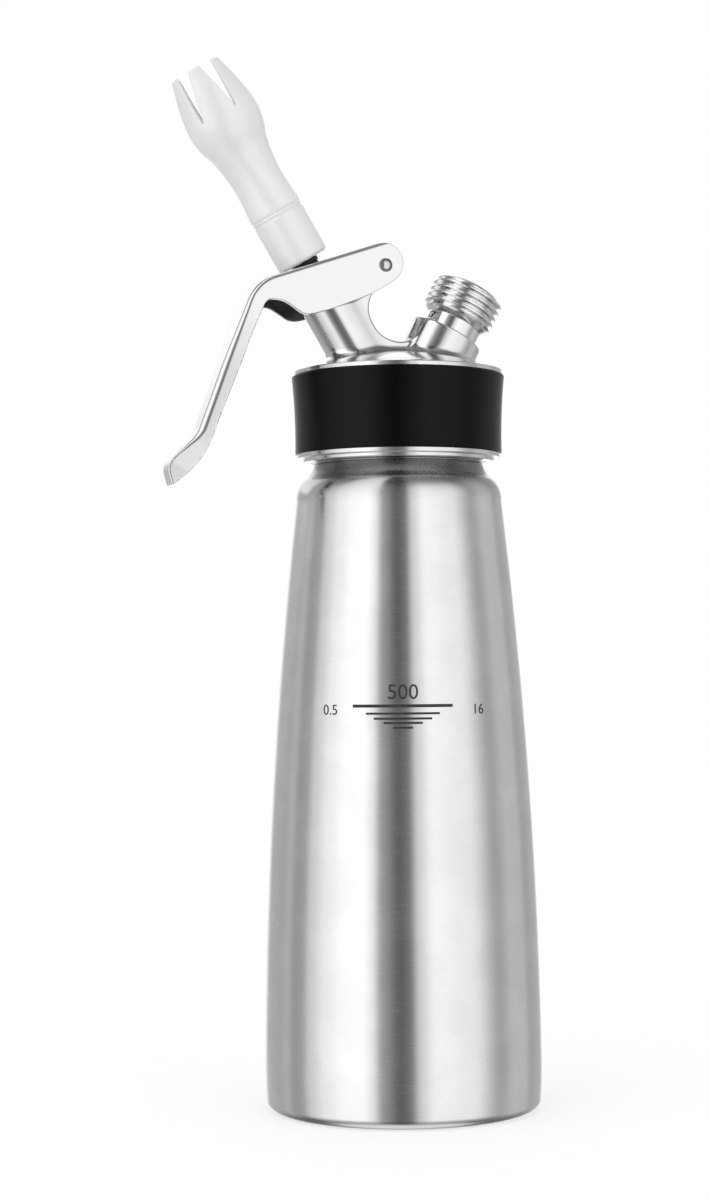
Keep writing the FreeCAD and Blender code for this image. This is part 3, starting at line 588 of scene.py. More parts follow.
def shader_group(name: str, inputs: dict[str, float],
                 outputs: Iterable[str]) -> tuple[bpy.types.NodeTree, Nodes, bpy.types.Node, bpy.types.Node]:
    """Start a shader node group with float inputs and outputs.

    Args:
        name: Name of the group.
        inputs: Each input's name and starting value.
        outputs: Names of the outputs.

    Returns:
        The group's tree, a helper that makes nodes in it, and its input and output nodes.
    """
    tree = bpy.data.node_groups.new(name, "ShaderNodeTree")
    for label, value in inputs.items():
        socket = tree.interface.new_socket(name=label, in_out="INPUT", socket_type="NodeSocketFloat")
        socket.default_value = value
    for label in outputs:
        tree.interface.new_socket(name=label, in_out="OUTPUT", socket_type="NodeSocketFloat")
    nodes = Nodes(tree)
    return tree, nodes, nodes.add("NodeGroupInput"), nodes.add("NodeGroupOutput")


def hairline_group() -> bpy.types.NodeTree:
    """Fine polishing lines that run round a turned piece, with a few deeper ones.

    Returns:
        Group with Fineness (lines per metre) and Stretch in, Height and Mask out.
    """
    tree, nodes, given, result = shader_group(
        "round hairlines", {"Fineness": 3000.0, "Stretch": 60.0}, ("Height", "Mask"))
    deep_from, deep_to, deep_cut = 0.62, 0.74, -0.6
    x, y, z = nodes.parts("Object")
    turn = nodes.math("ARCTAN2", y, x)
    squares = nodes.math("ADD", nodes.math("MULTIPLY", x, x), nodes.math("MULTIPLY", y, y))
    along = nodes.math("ADD", z, nodes.math("SQRT", squares))
    way = nodes.add("ShaderNodeCombineXYZ")
    nodes.link(nodes.math("MULTIPLY", nodes.math("SINE", turn), given.outputs["Stretch"]), way.inputs["X"])
    nodes.link(nodes.math("MULTIPLY", nodes.math("COSINE", turn), given.outputs["Stretch"]), way.inputs["Y"])
    nodes.link(nodes.math("MULTIPLY", along, given.outputs["Fineness"]), way.inputs["Z"])
    fine = nodes.noise(way.outputs[0], "3D", scale=1.0, detail=3.0, roughness=0.65)
    deep = nodes.spread(fine, deep_from, deep_to)
    nodes.link(nodes.math("ADD", fine, nodes.math("MULTIPLY", deep, deep_cut)), result.inputs["Height"])
    nodes.link(deep, result.inputs["Mask"])
    return tree


def cloud_group() -> bpy.types.NodeTree:
    """Soft uneven patches, such as handling marks or a slow wander in a polished face.

    Returns:
        Group with Size (patches per metre) and Contrast in, Value and Mask out.
    """
    tree, nodes, given, result = shader_group(
        "soft clouds", {"Size": 60.0, "Contrast": 1.0}, ("Value", "Mask"))
    mask_from, mask_to = 0.42, 0.62
    place = nodes.add("ShaderNodeTexCoord").outputs["Object"]
    noise = nodes.noise(place, "3D", given.outputs["Size"], detail=4.0, roughness=0.55)
    centred = nodes.math("SUBTRACT", noise, 0.5)
    nodes.link(nodes.math("MULTIPLY", centred, given.outputs["Contrast"]), result.inputs["Value"])
    nodes.link(nodes.spread(noise, mask_from, mask_to), result.inputs["Mask"])
    return tree


def scratch_group() -> bpy.types.NodeTree:
    """Short light scratches that lie mostly level.

    Returns:
        Group with Density (per metre) and Length in, Mask out.
    """
    tree, nodes, given, result = shader_group(
        "level scratches", {"Density": 3500.0, "Length": 5.0}, ("Mask",))
    core, edge, rare_from, rare_to = 0.08, 0.25, 0.48, 0.62
    x, y, z = nodes.parts("Object")
    spot = nodes.add("ShaderNodeCombineXYZ")
    turn = nodes.math("ARCTAN2", y, x)
    nodes.link(nodes.math("MULTIPLY", turn, given.outputs["Length"]), spot.inputs["X"])
    nodes.link(nodes.math("MULTIPLY", z, given.outputs["Density"]), spot.inputs["Y"])
    lines = nodes.add("ShaderNodeTexVoronoi", voronoi_dimensions="2D", feature="F1")
    nodes.link(spot.outputs[0], lines.inputs["Vector"])
    lines.inputs["Scale"].default_value = 1.0
    wander = nodes.noise(spot.outputs[0], "2D", scale=0.7, detail=5.0)
    thin = nodes.spread(lines.outputs["Distance"], core, edge, 1.0, 0.0)
    rare = nodes.spread(wander, rare_from, rare_to)
    nodes.link(nodes.math("MULTIPLY", thin, rare), result.inputs["Mask"])
    return tree


@dataclass
class ShaderKit:
    """The node groups that the finishes share, each built once."""

    hairlines: bpy.types.NodeTree = field(default_factory=hairline_group)
    clouds: bpy.types.NodeTree = field(default_factory=cloud_group)
    scratches: bpy.types.NodeTree = field(default_factory=scratch_group)

    def place(self, nodes: Nodes, tree: bpy.types.NodeTree, **values: float) -> bpy.types.Node:
        """Put a group in a material with its own values.

        Args:
            nodes: Helper of the material's tree.
            tree: The group.
            **values: Input values, with spaces in their names as underscores.

        Returns:
            The group node.
        """
        node = nodes.add("ShaderNodeGroup", node_tree=tree)
        for key, value in values.items():
            node.inputs[key.replace("_", " ")].default_value = value
        return node


class Sheen(Enum):
    """How a steel face was finished."""

    MIRROR = "mirror"
    SATIN = "satin"
    DRAWN = "drawn"


# ---------------------------------------------------------------- finishes
PATCH_TONE = 0.1
PATCH_WARMTH = 0.006
PATCH_ROUGHNESS = 0.25
SCRATCH_DENSITY = 3500.0
SCRATCH_LENGTH = 5.0
SCRATCH_GAIN = 1.35
SCRATCH_SHARE = 0.35
SCRATCH_ROUGHNESS = 0.15
BRIGHTEST = 0.98
LINE_ROUGHNESS = 0.06
STREAK = 0.85
STREAK_TURN = 0.25
MOULD_PATCH = 80.0
MOULD_CONTRAST = 0.6
MOULD_ROUGHNESS = 0.1
SCATTER_TINT = (1.0, 0.9, 0.8)
SCATTER_REACH = 0.0015


def start_material(name: str) -> tuple[bpy.types.Material, Nodes, bpy.types.Node]:
    """Start a material with its Principled shader.

    Args:
        name: Name of the material.

    Returns:
        The material, a helper for its tree, and the shader node.
    """
    material = bpy.data.materials.new(name)
    material.use_nodes = True
    return material, Nodes(material.node_tree), material.node_tree.nodes["Principled BSDF"]


def grey(value: float, warmth: float = 0.0) -> tuple[float, float, float, float]:
    """A grey colour, slightly warm when warmth is above 0."""
    return (value * (1 + warmth), value, value * (1 - warmth), 1.0)


def bump(nodes: Nodes, shader: bpy.types.Node, height: bpy.types.NodeSocket, depth: float) -> None:
    """Raise a shader's surface by a height.

    Args:
        nodes: Helper of the material's tree.
        shader: The shader.
        height: The height, about 0 to 1.
        depth: What a height of 1 stands for, in metres.
    """
    node = nodes.add("ShaderNodeBump")
    node.inputs["Distance"].default_value = depth
    nodes.link(height, node.inputs["Height"])
    nodes.link(node.outputs["Normal"], shader.inputs["Normal"])


@dataclass(frozen=True)
class SteelFinish:
    """Stainless steel.

    Args:
        name: Name of the finish.
        sheen: How it was finished.
        tone: Its brightness.
        roughness: Its roughness.
        line_depth: Height of the hairlines in metres.
        fineness: Hairlines per metre along the axis.
        stretch: How short the hairlines are.
        patch: Uneven patches per metre.
        patchiness: How much those patches differ.
        shade: Levels in metres between which painted shade darkens the steel, if it has any.
        painted_shade_tone: Brightness of that painted shade above them.
    """

    name: str
    sheen: Sheen
    tone: float = 0.66
    roughness: float = 0.18
    line_depth: float = 0.000004
    fineness: float = 2600.0
    stretch: float = 14.0
    patch: float = 120.0
    patchiness: float = 0.3
    shade: Optional[tuple[float, float]] = None
    painted_shade_tone: float = 0.36

    def material(self, kit: ShaderKit) -> bpy.types.Material:
        """Build the material.

        Args:
            kit: The shared groups.

        Returns:
            The material.
        """
        material, nodes, shader = start_material(self.name)
        shader.inputs["Metallic"].default_value = 1.0
        clouds = kit.place(nodes, kit.clouds, Size=self.patch, Contrast=self.patchiness)
        spread = PATCH_TONE * self.patchiness
        low, high = grey(self.tone * (1 - spread), PATCH_WARMTH), grey(self.tone * (1 + spread / 2))
        tone = nodes.mix(clouds.outputs["Mask"], low, high)
        rough = nodes.math("MULTIPLY", clouds.outputs["Value"], PATCH_ROUGHNESS)
        rough = nodes.math("ADD", rough, self.roughness)
        if self.sheen is Sheen.DRAWN:
            marks = kit.place(nodes, kit.scratches, Density=SCRATCH_DENSITY, Length=SCRATCH_LENGTH)
            scratches = marks.outputs["Mask"]
            bright = grey(min(self.tone * SCRATCH_GAIN, BRIGHTEST))
            tone = nodes.mix(nodes.math("MULTIPLY", scratches, SCRATCH_SHARE), tone, bright)
            rough = nodes.math("ADD", rough, nodes.math("MULTIPLY", scratches, SCRATCH_ROUGHNESS))
            around = nodes.add("ShaderNodeTangent", direction_type="RADIAL", axis="Z")
            nodes.link(around.outputs["Tangent"], shader.inputs["Tangent"])
            shader.inputs["Anisotropic"].default_value = STREAK
            shader.inputs["Anisotropic Rotation"].default_value = STREAK_TURN
        # Painted shade: between the shade levels the tone falls to a darker grey, which darkens the bottle's
        # throat under the head.
        if self.shade:
            above = nodes.spread(nodes.parts("Object")["Z"], *self.shade)
            tone = nodes.mix(above, tone, grey(self.painted_shade_tone))
        if self.sheen is Sheen.SATIN:
            height = kit.place(nodes, kit.clouds, Size=self.fineness, Contrast=1.0).outputs["Value"]
        else:
            lines = kit.place(nodes, kit.hairlines, Fineness=self.fineness, Stretch=self.stretch)
            rough = nodes.math("ADD", rough, nodes.math("MULTIPLY", lines.outputs["Mask"], LINE_ROUGHNESS))
            height = lines.outputs["Height"]
        bump(nodes, shader, height, self.line_depth)
        nodes.link(tone, shader.inputs["Base Color"])
        nodes.link(rough, shader.inputs["Roughness"])
        return material


@dataclass(frozen=True)
class SoftFinish:
    """Rubber, silicone or moulded plastic.

    Args:
        name: Name of the finish.
        colour: Its colour.
        roughness: Its roughness.
        grain: Cells of the moulded grain per metre.
        grain_depth: Height of that grain in metres.
        variation: How much the colour wanders.
        subsurface: Share of light that scatters under the surface.
        specular: Strength of its plain reflection.
        index: Refractive index.
    """

    name: str
    colour: tuple[float, float, float]
    roughness: float
    grain: float = 1800.0
    grain_depth: float = 0.00001
    variation: float = 0.08
    subsurface: float = 0.0
    specular: float = 0.5
    index: float = 1.5

    def material(self, kit: ShaderKit) -> bpy.types.Material:
        """Build the material.

        Args:
            kit: The shared groups.

        Returns:
            The material.
        """
        material, nodes, shader = start_material(self.name)
        shader.inputs["Specular IOR Level"].default_value = self.specular
        shader.inputs["IOR"].default_value = self.index
        clouds = kit.place(nodes, kit.clouds, Size=MOULD_PATCH, Contrast=MOULD_CONTRAST)
        grain = kit.place(nodes, kit.clouds, Size=self.grain, Contrast=1.0)
        low, high = (tuple(min(c * (1 + way * self.variation), 1.0) for c in self.colour) + (1.0,)
                     for way in (-1, 1))
        nodes.link(nodes.mix(clouds.outputs["Mask"], low, high), shader.inputs["Base Color"])
        rough = nodes.math("MULTIPLY", clouds.outputs["Value"], MOULD_ROUGHNESS)
        nodes.link(nodes.math("ADD", rough, self.roughness), shader.inputs["Roughness"])
        bump(nodes, shader, grain.outputs["Value"], self.grain_depth)
        if self.subsurface:
            shader.inputs["Subsurface Weight"].default_value = self.subsurface
            shader.inputs["Subsurface Radius"].default_value = SCATTER_TINT
            shader.inputs["Subsurface Scale"].default_value = SCATTER_REACH
        return material


FINISHES: dict[str, SteelFinish | SoftFinish] = {
    # The drawn steel's shade levels paint shade on the bottle's throat under the head.
    "drawn": SteelFinish("drawn_steel", Sheen.DRAWN, tone=0.79, roughness=0.20, line_depth=0.000005,
                         fineness=1500.0, stretch=5.0, patch=70.0, patchiness=0.4,
                         shade=(0.1725, 0.1835)),
    "cast": SteelFinish("cast_steel", Sheen.MIRROR, tone=0.78, roughness=0.15, line_depth=0.0000012,
                        fineness=3000.0, stretch=3.0),
    "turned": SteelFinish("turned_steel", Sheen.MIRROR, tone=0.82, roughness=0.07, line_depth=0.0,
                          patchiness=0.1),
    "satin": SteelFinish("satin_steel", Sheen.SATIN, tone=0.80, roughness=0.19, line_depth=0.000001,
                         fineness=4200.0, patch=0.1),
    "machined": SteelFinish("machined_steel", Sheen.MIRROR, tone=0.66, roughness=0.10,
                            line_depth=0.0000003, fineness=5200.0, stretch=2.5),
    # Dark steel for the inside of the lever's channel: its low tone is painted shade, its higher roughness
    # the pressed finish.
    "pressed": SteelFinish("pressed_steel_painted_shade", Sheen.SATIN, tone=0.34, roughness=0.34, line_depth=0.000001,
                           fineness=4200.0),
    "spring": SteelFinish("spring_steel", Sheen.SATIN, tone=0.5, roughness=0.3),
    "silicone": SoftFinish("silicone_sleeve", (0.0012, 0.0013, 0.0015), roughness=0.29, grain=2400.0,
                           grain_depth=0.000003, specular=0.15),
    "black_rubber": SoftFinish("black_rubber", (0.006, 0.006, 0.006), roughness=0.5),
    "grey_rubber": SoftFinish("grey_rubber", (0.32, 0.32, 0.31), roughness=0.6),
    "white_plastic": SoftFinish("white_plastic", (0.93, 0.93, 0.925), roughness=0.22, grain=900.0,
                                grain_depth=0.000003, variation=0.01, subsurface=0.15, specular=0.8,
                                index=1.65),
    "nylon": SoftFinish("white_nylon", (0.8, 0.8, 0.78), roughness=0.5),
    "print": SoftFinish("mark_print", (0.03, 0.03, 0.031), roughness=0.55, grain=3000.0,
                        grain_depth=0.000003, variation=0.15),
}


class Palette:
    """Every material of the dispenser, built once and read by the finish's short name."""

    def __init__(self) -> None:
        """Build the shared groups and the finishes."""
        kit = ShaderKit()
        self.materials = {name: finish.material(kit) for name, finish in FINISHES.items()}

    def __getitem__(self, name: str) -> bpy.types.Material:
        """The material of a finish."""
        return self.materials[name]


def dress(piece: bpy.types.Object, material: bpy.types.Material, body: str,
          replaces: Sequence[str] = ()) -> bpy.types.Object:
    """Give a new piece its finish and its place in the model.

    Args:
        piece: The piece.
        material: Its material.
        body: CAD body that it rides on.
        replaces: CAD nodes that it stands for.

    Returns:
        The piece.
    """
    piece.data.materials.clear()
    piece.data.materials.append(material)
    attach(piece, body)
    if replaces:
        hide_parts(*replaces)
    log.info("%s: %d faces on %s", piece.name, len(piece.data.polygons), body)
    return piece


def repaint(material: bpy.types.Material, *names: str) -> None:
    """Give CAD nodes that stay in view their finish.

    Args:
        material: The finish.
        *names: Names of the nodes.
    """
    for name in names:
        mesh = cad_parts[name].data
        mesh.materials.clear()
        mesh.materials.append(material)
        mesh.polygons.foreach_set("material_index", [0] * len(mesh.polygons))
        log.info("%s keeps its own mesh", name)


# ---------------------------------------------------------------- bottle
@dataclass
class Bottle:
    """Drawn steel bottle with its printed fill mark."""

    wall: float = 0.9
    dish: float = 34.5
    dish_rise: float = 3.0
    foot: float = 39.7
    foot_ease: float = 3.0
    foot_bow: float = 170.0
    belly: float = 40.0
    belly_level: float = 13.0
    flank_bow: float = 1500.0
    shoulder: float = 29.85
    shoulder_level: float = 174.3
    shoulder_bow: float = 8.0
    crown: float = 27.6
    crown_level: float = 180.4
    crown_bow: float = 6.0
    throat: float = 26.0
    throat_level: float = 181.8
    throat_bow: float = 14.0
    seat: float = 24.25
    seat_level: float = 185.5
    ledge: float = 0.85
    ledge_rise: float = 0.4
    neck: float = 21.9
    mouth: float = 204.4
    inner_seat_bow: float = 6.0
    inner_crown_bow: float = 7.4

    def corners(self) -> list[Corner]:
        """Outline of the shell, outside up and inside down.

        Returns:
            The corners, from the dish's middle to its inner middle.
        """
        wall, ledge, step = self.wall, self.seat + self.ledge, self.seat_level + 2 * self.ledge_rise
        dish_bow = (self.dish**2 + self.dish_rise**2) / (2 * self.dish_rise)
        return [
            Corner(0, self.dish_rise, bend=dish_bow),
            Corner(self.dish, 0, ease=0.5),
            Corner(self.foot - self.foot_ease, 0, bend=self.foot_ease, side=-1),
            Corner(self.foot, self.foot_ease, bend=self.foot_bow, side=-1),
            Corner(self.belly, self.belly_level, bend=self.flank_bow, side=-1),
            Corner(self.shoulder, self.shoulder_level, bend=self.shoulder_bow, side=-1),
            Corner(self.crown, self.crown_level, bend=self.crown_bow),
            Corner(self.throat, self.throat_level, bend=self.throat_bow),
            Corner(self.seat, self.seat_level, ease=0.3),
            Corner(ledge, self.seat_level + self.ledge_rise),
            Corner(ledge, step, ease=0.1),
            Corner(self.neck, step),
            Corner(self.neck, self.mouth, ease=0.2),
            Corner(self.neck - wall, self.mouth, ease=0.2),
            Corner(self.neck - wall, self.seat_level, bend=self.inner_seat_bow, side=-1),
            Corner(self.crown - wall, self.crown_level - wall, bend=self.inner_crown_bow),
            Corner(self.shoulder - wall, self.shoulder_level, bend=self.flank_bow),
            Corner(self.belly - wall, self.belly_level, bend=self.foot_bow),
            Corner(self.foot - wall, self.foot_ease, bend=self.foot_ease - wall),
            Corner(self.foot - self.foot_ease, wall),
            Corner(self.dish, wall, bend=dish_bow, side=-1),
            Corner(0, self.dish_rise + wall),
        ]

    def build(self, palette: Palette) -> None:
        """Make the shell and dress the neck ring.

        Args:
            palette: The finishes.
        """
        shell = turned("bottle_wall", self.corners(), closed=False, segments=256, grain=3.0)
        # The drawn finish paints shade on the throat under the head.
        dress(shell, palette["drawn"], "bottle", ["bottle_shell"])
        repaint(palette["machined"], "neck_ring")


@dataclass
class FillMark:
    """Printed line, stepped bars and plain numbers that show the fill level.

    Args:
        bars: Level, length and height of each bar.
        numbers: Digits, place along the surface, level of the foot and height of each number.
        facing: Direction of the mark's middle round the bottle, in degrees.
        proud: How far the print stands out of the steel.
        sunk: How far a bar reaches into the steel.
        thick: Half the thickness of a number.
        type_size: Size of the type for a digit 1 high.
        flank: Radius and level of the middle of the parabola that follows the flank, its
            width, and its lean above the belly.
    """

    bars: tuple[tuple[float, float, float], ...] = (
        (116.0, 28.4, 0.85), (113.9, 20.7, 0.6), (112.5, 16.3, 0.6), (111.3, 10.9, 0.6), (110.0, 5.5, 0.6))
    numbers: tuple[tuple[str, float, float, float], ...] = (
        ("500", 0.0, 117.9, 4.2), ("0.5", -21.3, 113.6, 2.9), ("16", 22.5, 113.6, 2.9))
    facing: float = -105.4
    proud: float = 0.03
    sunk: float = 0.05
    thick: float = 0.04
    type_size: float = 1.4
    flank: tuple[float, float, float, float] = (40.2, -5.3, 3022, 0.0022)

    def radius(self, level: float) -> float:
        """Outside radius of the bottle at a level on its flank."""
        widest, middle, width, lean = self.flank
        return widest - (level - middle) ** 2 / width + lean * (level - Bottle.belly_level)

    def wrap(self, mesh: bpy.types.Mesh) -> None:
        """Bend a flat mesh, drawn in metres across and up, round the bottle.

        Args:
            mesh: The mesh; its Z is the distance out of the surface.
        """
        for vertex in mesh.vertices:
            across, level, out = (c / MM for c in vertex.co)
            radius = self.radius(level)
            turn = math.radians(self.facing) + across / radius
            vertex.co = Vector(((radius + out) * math.cos(turn), (radius + out) * math.sin(turn), level)) * MM

    def bar(self, level: float, length: float, height: float) -> bpy.types.Object:
        """One printed bar.

        Args:
            level: Its middle.
            length: Its length round the bottle.
            height: Its width up the bottle.

        Returns:
            The new object.
        """
        shape = bmesh.new()
        steps = max(8, int(length))
        rows: list[list[bmesh.types.BMVert]] = []
        for out, up in ((-self.sunk, -0.5), (self.proud, -0.5), (self.proud, 0.5), (-self.sunk, 0.5)):
            rows.append([shape.verts.new(Vector(((n / steps - 0.5) * length, level + up * height, out)) * MM)
                         for n in range(steps + 1)])
        for low, high in zip(rows, rows[1:] + rows[:1]):
            for n in range(steps):
                shape.faces.new((low[n], low[n + 1], high[n + 1], high[n]))
        shape.faces.new([row[0] for row in rows])
        shape.faces.new([row[-1] for row in reversed(rows)])
        bmesh.ops.recalc_face_normals(shape, faces=shape.faces)
        mesh = bpy.data.meshes.new("bar")
        shape.to_mesh(mesh)
        shape.free()
        self.wrap(mesh)
        return weld_object(f"mark_bar_{level * 10:.0f}", mesh, UPRIGHT)

    def number(self, text: str, across: float, level: float, size: float) -> bpy.types.Object:
        """A plain number.

        Args:
            text: The digits.
            across: Its middle, along the bottle's surface.
            level: Its foot.
            size: Its height.

        Returns:
            The new object.
        """
        curve = bpy.data.curves.new("digits", "FONT")
        curve.body = text
        curve.align_x = "CENTER"
        curve.size = size * self.type_size * MM
        curve.resolution_u = 6
        curve.extrude = self.thick * MM
        carrier = bpy.data.objects.new("digits", curve)
        bpy.context.scene.collection.objects.link(carrier)
        bpy.context.view_layer.update()
        shown = carrier.evaluated_get(bpy.context.evaluated_depsgraph_get())
        flat = bpy.data.meshes.new_from_object(shown)
        bpy.data.objects.remove(carrier)
        flat.transform(Matrix.Translation((across * MM, level * MM, (self.proud - self.thick) * MM)))
        self.wrap(flat)
        return weld_object("mark_" + text.replace(".", "_"), flat, UPRIGHT)

    def build(self, palette: Palette) -> None:
        """Print the mark.

        Args:
            palette: The finishes.
        """
        for piece in [self.bar(*bar) for bar in self.bars] + [self.number(*row) for row in self.numbers]:
            dress(piece, palette["print"], "bottle")


# ---------------------------------------------------------------- head
@dataclass
class Head:
    """Polished head: skirt, deck, valve tube, inlet boss and the web with the pivot ear."""

    root: float = 12.0
    beyond: float = 60.0
    tube: float = 7.9
    tube_top: float = 44.0
    chamber: float = 6.4
    chamber_foot: float = 24.0
    boss: float = 11.1
    boss_top: float = 33.1
    boss_aside: float = 0.65
    socket: float = 7.25
    socket_foot: float = 25.0
    web: float = 6.2
    web_top: float = 41.5
    web_foot: float = 15.0
    web_root: tuple[float, float] = (8.5, 206.0)
    web_behind: float = 9.0
    web_gap: float = 0.1
    web_fillet: float = 2.2
    ear: float = 4.45
    ear_half: float = 7.95
    ear_fillet: float = 0.6
    pin: float = 1.75
    flange: float = 30.2
    flange_low: float = 210.8
    flange_high: float = 212.3
    deck_edge: float = 29.0
    deck_rise: float = 5.6
    deck_fillet: float = 2.4
    underside: float = 206.6
    window: tuple[float, float, float] = (-0.9, 229.6, 9.2)
    ease: float = 0.5
    rim_ease: float = 0.35
    boss_ease: float = 0.7
    boss_fillet: float = 1.0
    window_ease: float = 0.3
    web_ease: float = 0.9
    bore_ease: float = 0.1
    mouth_ease: float = 0.3

    def web_outline(self) -> list[tuple[float, float]]:
        """Side outline of the web as X and Z pairs.

        Returns:
            The corners in order.
        """
        lean = math.radians(DECK_FALL)
        x, z = PIVOT
        return [
            VALVE.point(0.0, self.web_top),
            VALVE.point(0.0, self.web_foot),
            self.web_root,
            (self.web_behind, self.window[1] - self.window[2] - self.web_gap),
            (x + self.ear, self.window[1]),
            (x + self.ear, z),
            (x - self.ear * math.sin(lean), z + self.ear * math.cos(lean)),
        ]

    def field(self, x: np.ndarray, y: np.ndarray, z: np.ndarray) -> np.ndarray:
        """Distance field of everything above the sleeve, in the row frame.

        Args:
            x: Row X.
            y: Row Y.
            z: Row Z.

        Returns:
            The signed distance.
        """
        ease = self.ease
        radial = np.hypot(x, y)
        dome = (self.deck_edge**2 + self.deck_rise**2) / (2 * self.deck_rise)
        cap = np.sqrt(radial**2 + (z - self.flange_high - self.deck_rise + dome) ** 2) - dome
        deck = blend_max(blend_max(cap, radial - self.deck_edge, ease), self.underside - z, ease)
        rim = capped(radial, z, self.flange, self.flange_low, self.flange_high, self.rim_ease)
        base = blend_min(deck, rim, ease)

        across, along = VALVE.local(x, z)
        tube_radial = np.hypot(across, y)
        tube = capped(tube_radial, along, self.tube, self.root, self.tube_top, ease)
        lean_across, lean_along = INLET.local(x, z)
        boss_radial = np.hypot(lean_across + self.boss_aside, y)
        boss = capped(boss_radial, lean_along, self.boss, self.root, self.boss_top, self.boss_ease)

        side = polygon_field(x, z, self.web_outline())
        wx, wz, wr = self.window
        side = blend_max(side, wr - np.hypot(x - wx, z - wz), self.window_ease)
        web = blend_max(side, np.abs(y) - self.web, self.web_ease)
        pivot = np.hypot(x - PIVOT[0], z - PIVOT[1])
        ear = capped(pivot, y, self.ear, -self.ear_half, self.ear_half, ease)
        upper = blend_min(blend_min(tube, web, self.web_fillet), ear, self.ear_fillet)
        upper = blend_min(upper, boss, self.boss_fillet)
        solid = np.maximum(blend_min(base, upper, self.deck_fillet), self.underside - z)

        chamber = capped(tube_radial, along, self.chamber, self.chamber_foot, self.beyond, self.bore_ease)
        socket_radial = np.hypot(lean_across, y)
        socket = capped(socket_radial, lean_along, self.socket, self.socket_foot, self.beyond, self.bore_ease)
        hollow = np.minimum(np.minimum(chamber, socket), pivot - self.pin)
        return blend_max(solid, -hollow, self.mouth_ease)

    def build(self, palette: Palette) -> None:
        """Make everything above the sleeve.

        Args:
            palette: The finishes.
        """
        solid = NetSolid(self.field, low=(-31.0, -31.0, 205.0), high=(31.0, 31.0, 248.0), step=0.32)
        top = solid.build("head_top", UPRIGHT)
        dress(top, palette["cast"], "head", ["head_casting"])


@dataclass
class Skirt:
    """Skirt of the head, with the thread's bore inside and the sleeve's seat outside.

    Args:
        bore: Radius of its bore.
        foot: Level of its lower edge.
        lip: Radius of that edge.
        ledge: Radius of the ledge under the sleeve.
        ledge_low: Level of the ledge's underside.
        ledge_high: Level of its top.
        seat: Radius of the sleeve's seat.
        top: Level of the seat's upper end, under the deck.
        slope: Radius from which the roof slopes down to its hole.
        hole: Radius of that hole.
        hole_high: Level of its upper edge.
        roof: Level of the roof's underside.
    """

    bore: float = 25.23
    foot: float = 185.7
    lip: float = 27.8
    ledge: float = 29.5
    ledge_low: float = 186.8
    ledge_high: float = 188.2
    seat: float = 27.38
    top: float = 210.0
    slope: float = 20.0
    hole: float = 17.5
    hole_high: float = 208.16
    roof: float = 206.56

    def corners(self) -> list[Corner]:
        """Outline of the skirt.

        Returns:
            The corners, counterclockwise.
        """
        return [
            Corner(self.bore, self.foot, ease=0.3),
            Corner(self.lip, self.foot, ease=0.4),
            Corner(self.lip, self.ledge_low, ease=0.2),
            Corner(self.ledge, self.ledge_low, ease=0.35),
            Corner(self.ledge, self.ledge_high, ease=0.3),
            Corner(self.seat, self.ledge_high),
            Corner(self.seat, self.top),
            Corner(self.slope, self.top),
            Corner(self.hole, self.hole_high),
            Corner(self.hole, self.roof),
            Corner(self.bore, self.roof),
        ]

    def build(self, palette: Palette) -> None:
        """Make the skirt.

        Args:
            palette: The finishes.
        """
        piece = turned("head_skirt", self.corners(), segments=192)
        dress(piece, palette["cast"], "head")


@dataclass
class Sleeve:
    """Silicone band round the skirt, waisted between crisp lips."""

    inner: float = 27.43
    foot: float = 29.9
    crown: float = 30.8
    low: float = 188.25
    high: float = 210.75
    waist_bow: float = 180.0

    def build(self, palette: Palette) -> None:
        """Make the band.

        Args:
            palette: The finishes.
        """
        corners = [
            Corner(self.inner, self.low), Corner(self.foot, self.low, ease=0.35, bend=self.waist_bow),
            Corner(self.crown, self.high, ease=0.45), Corner(self.inner, self.high)]
        piece = turned("sleeve_band", corners, segments=192, grain=1.5)
        dress(piece, palette["silicone"], "head", ["grip_sleeve"])


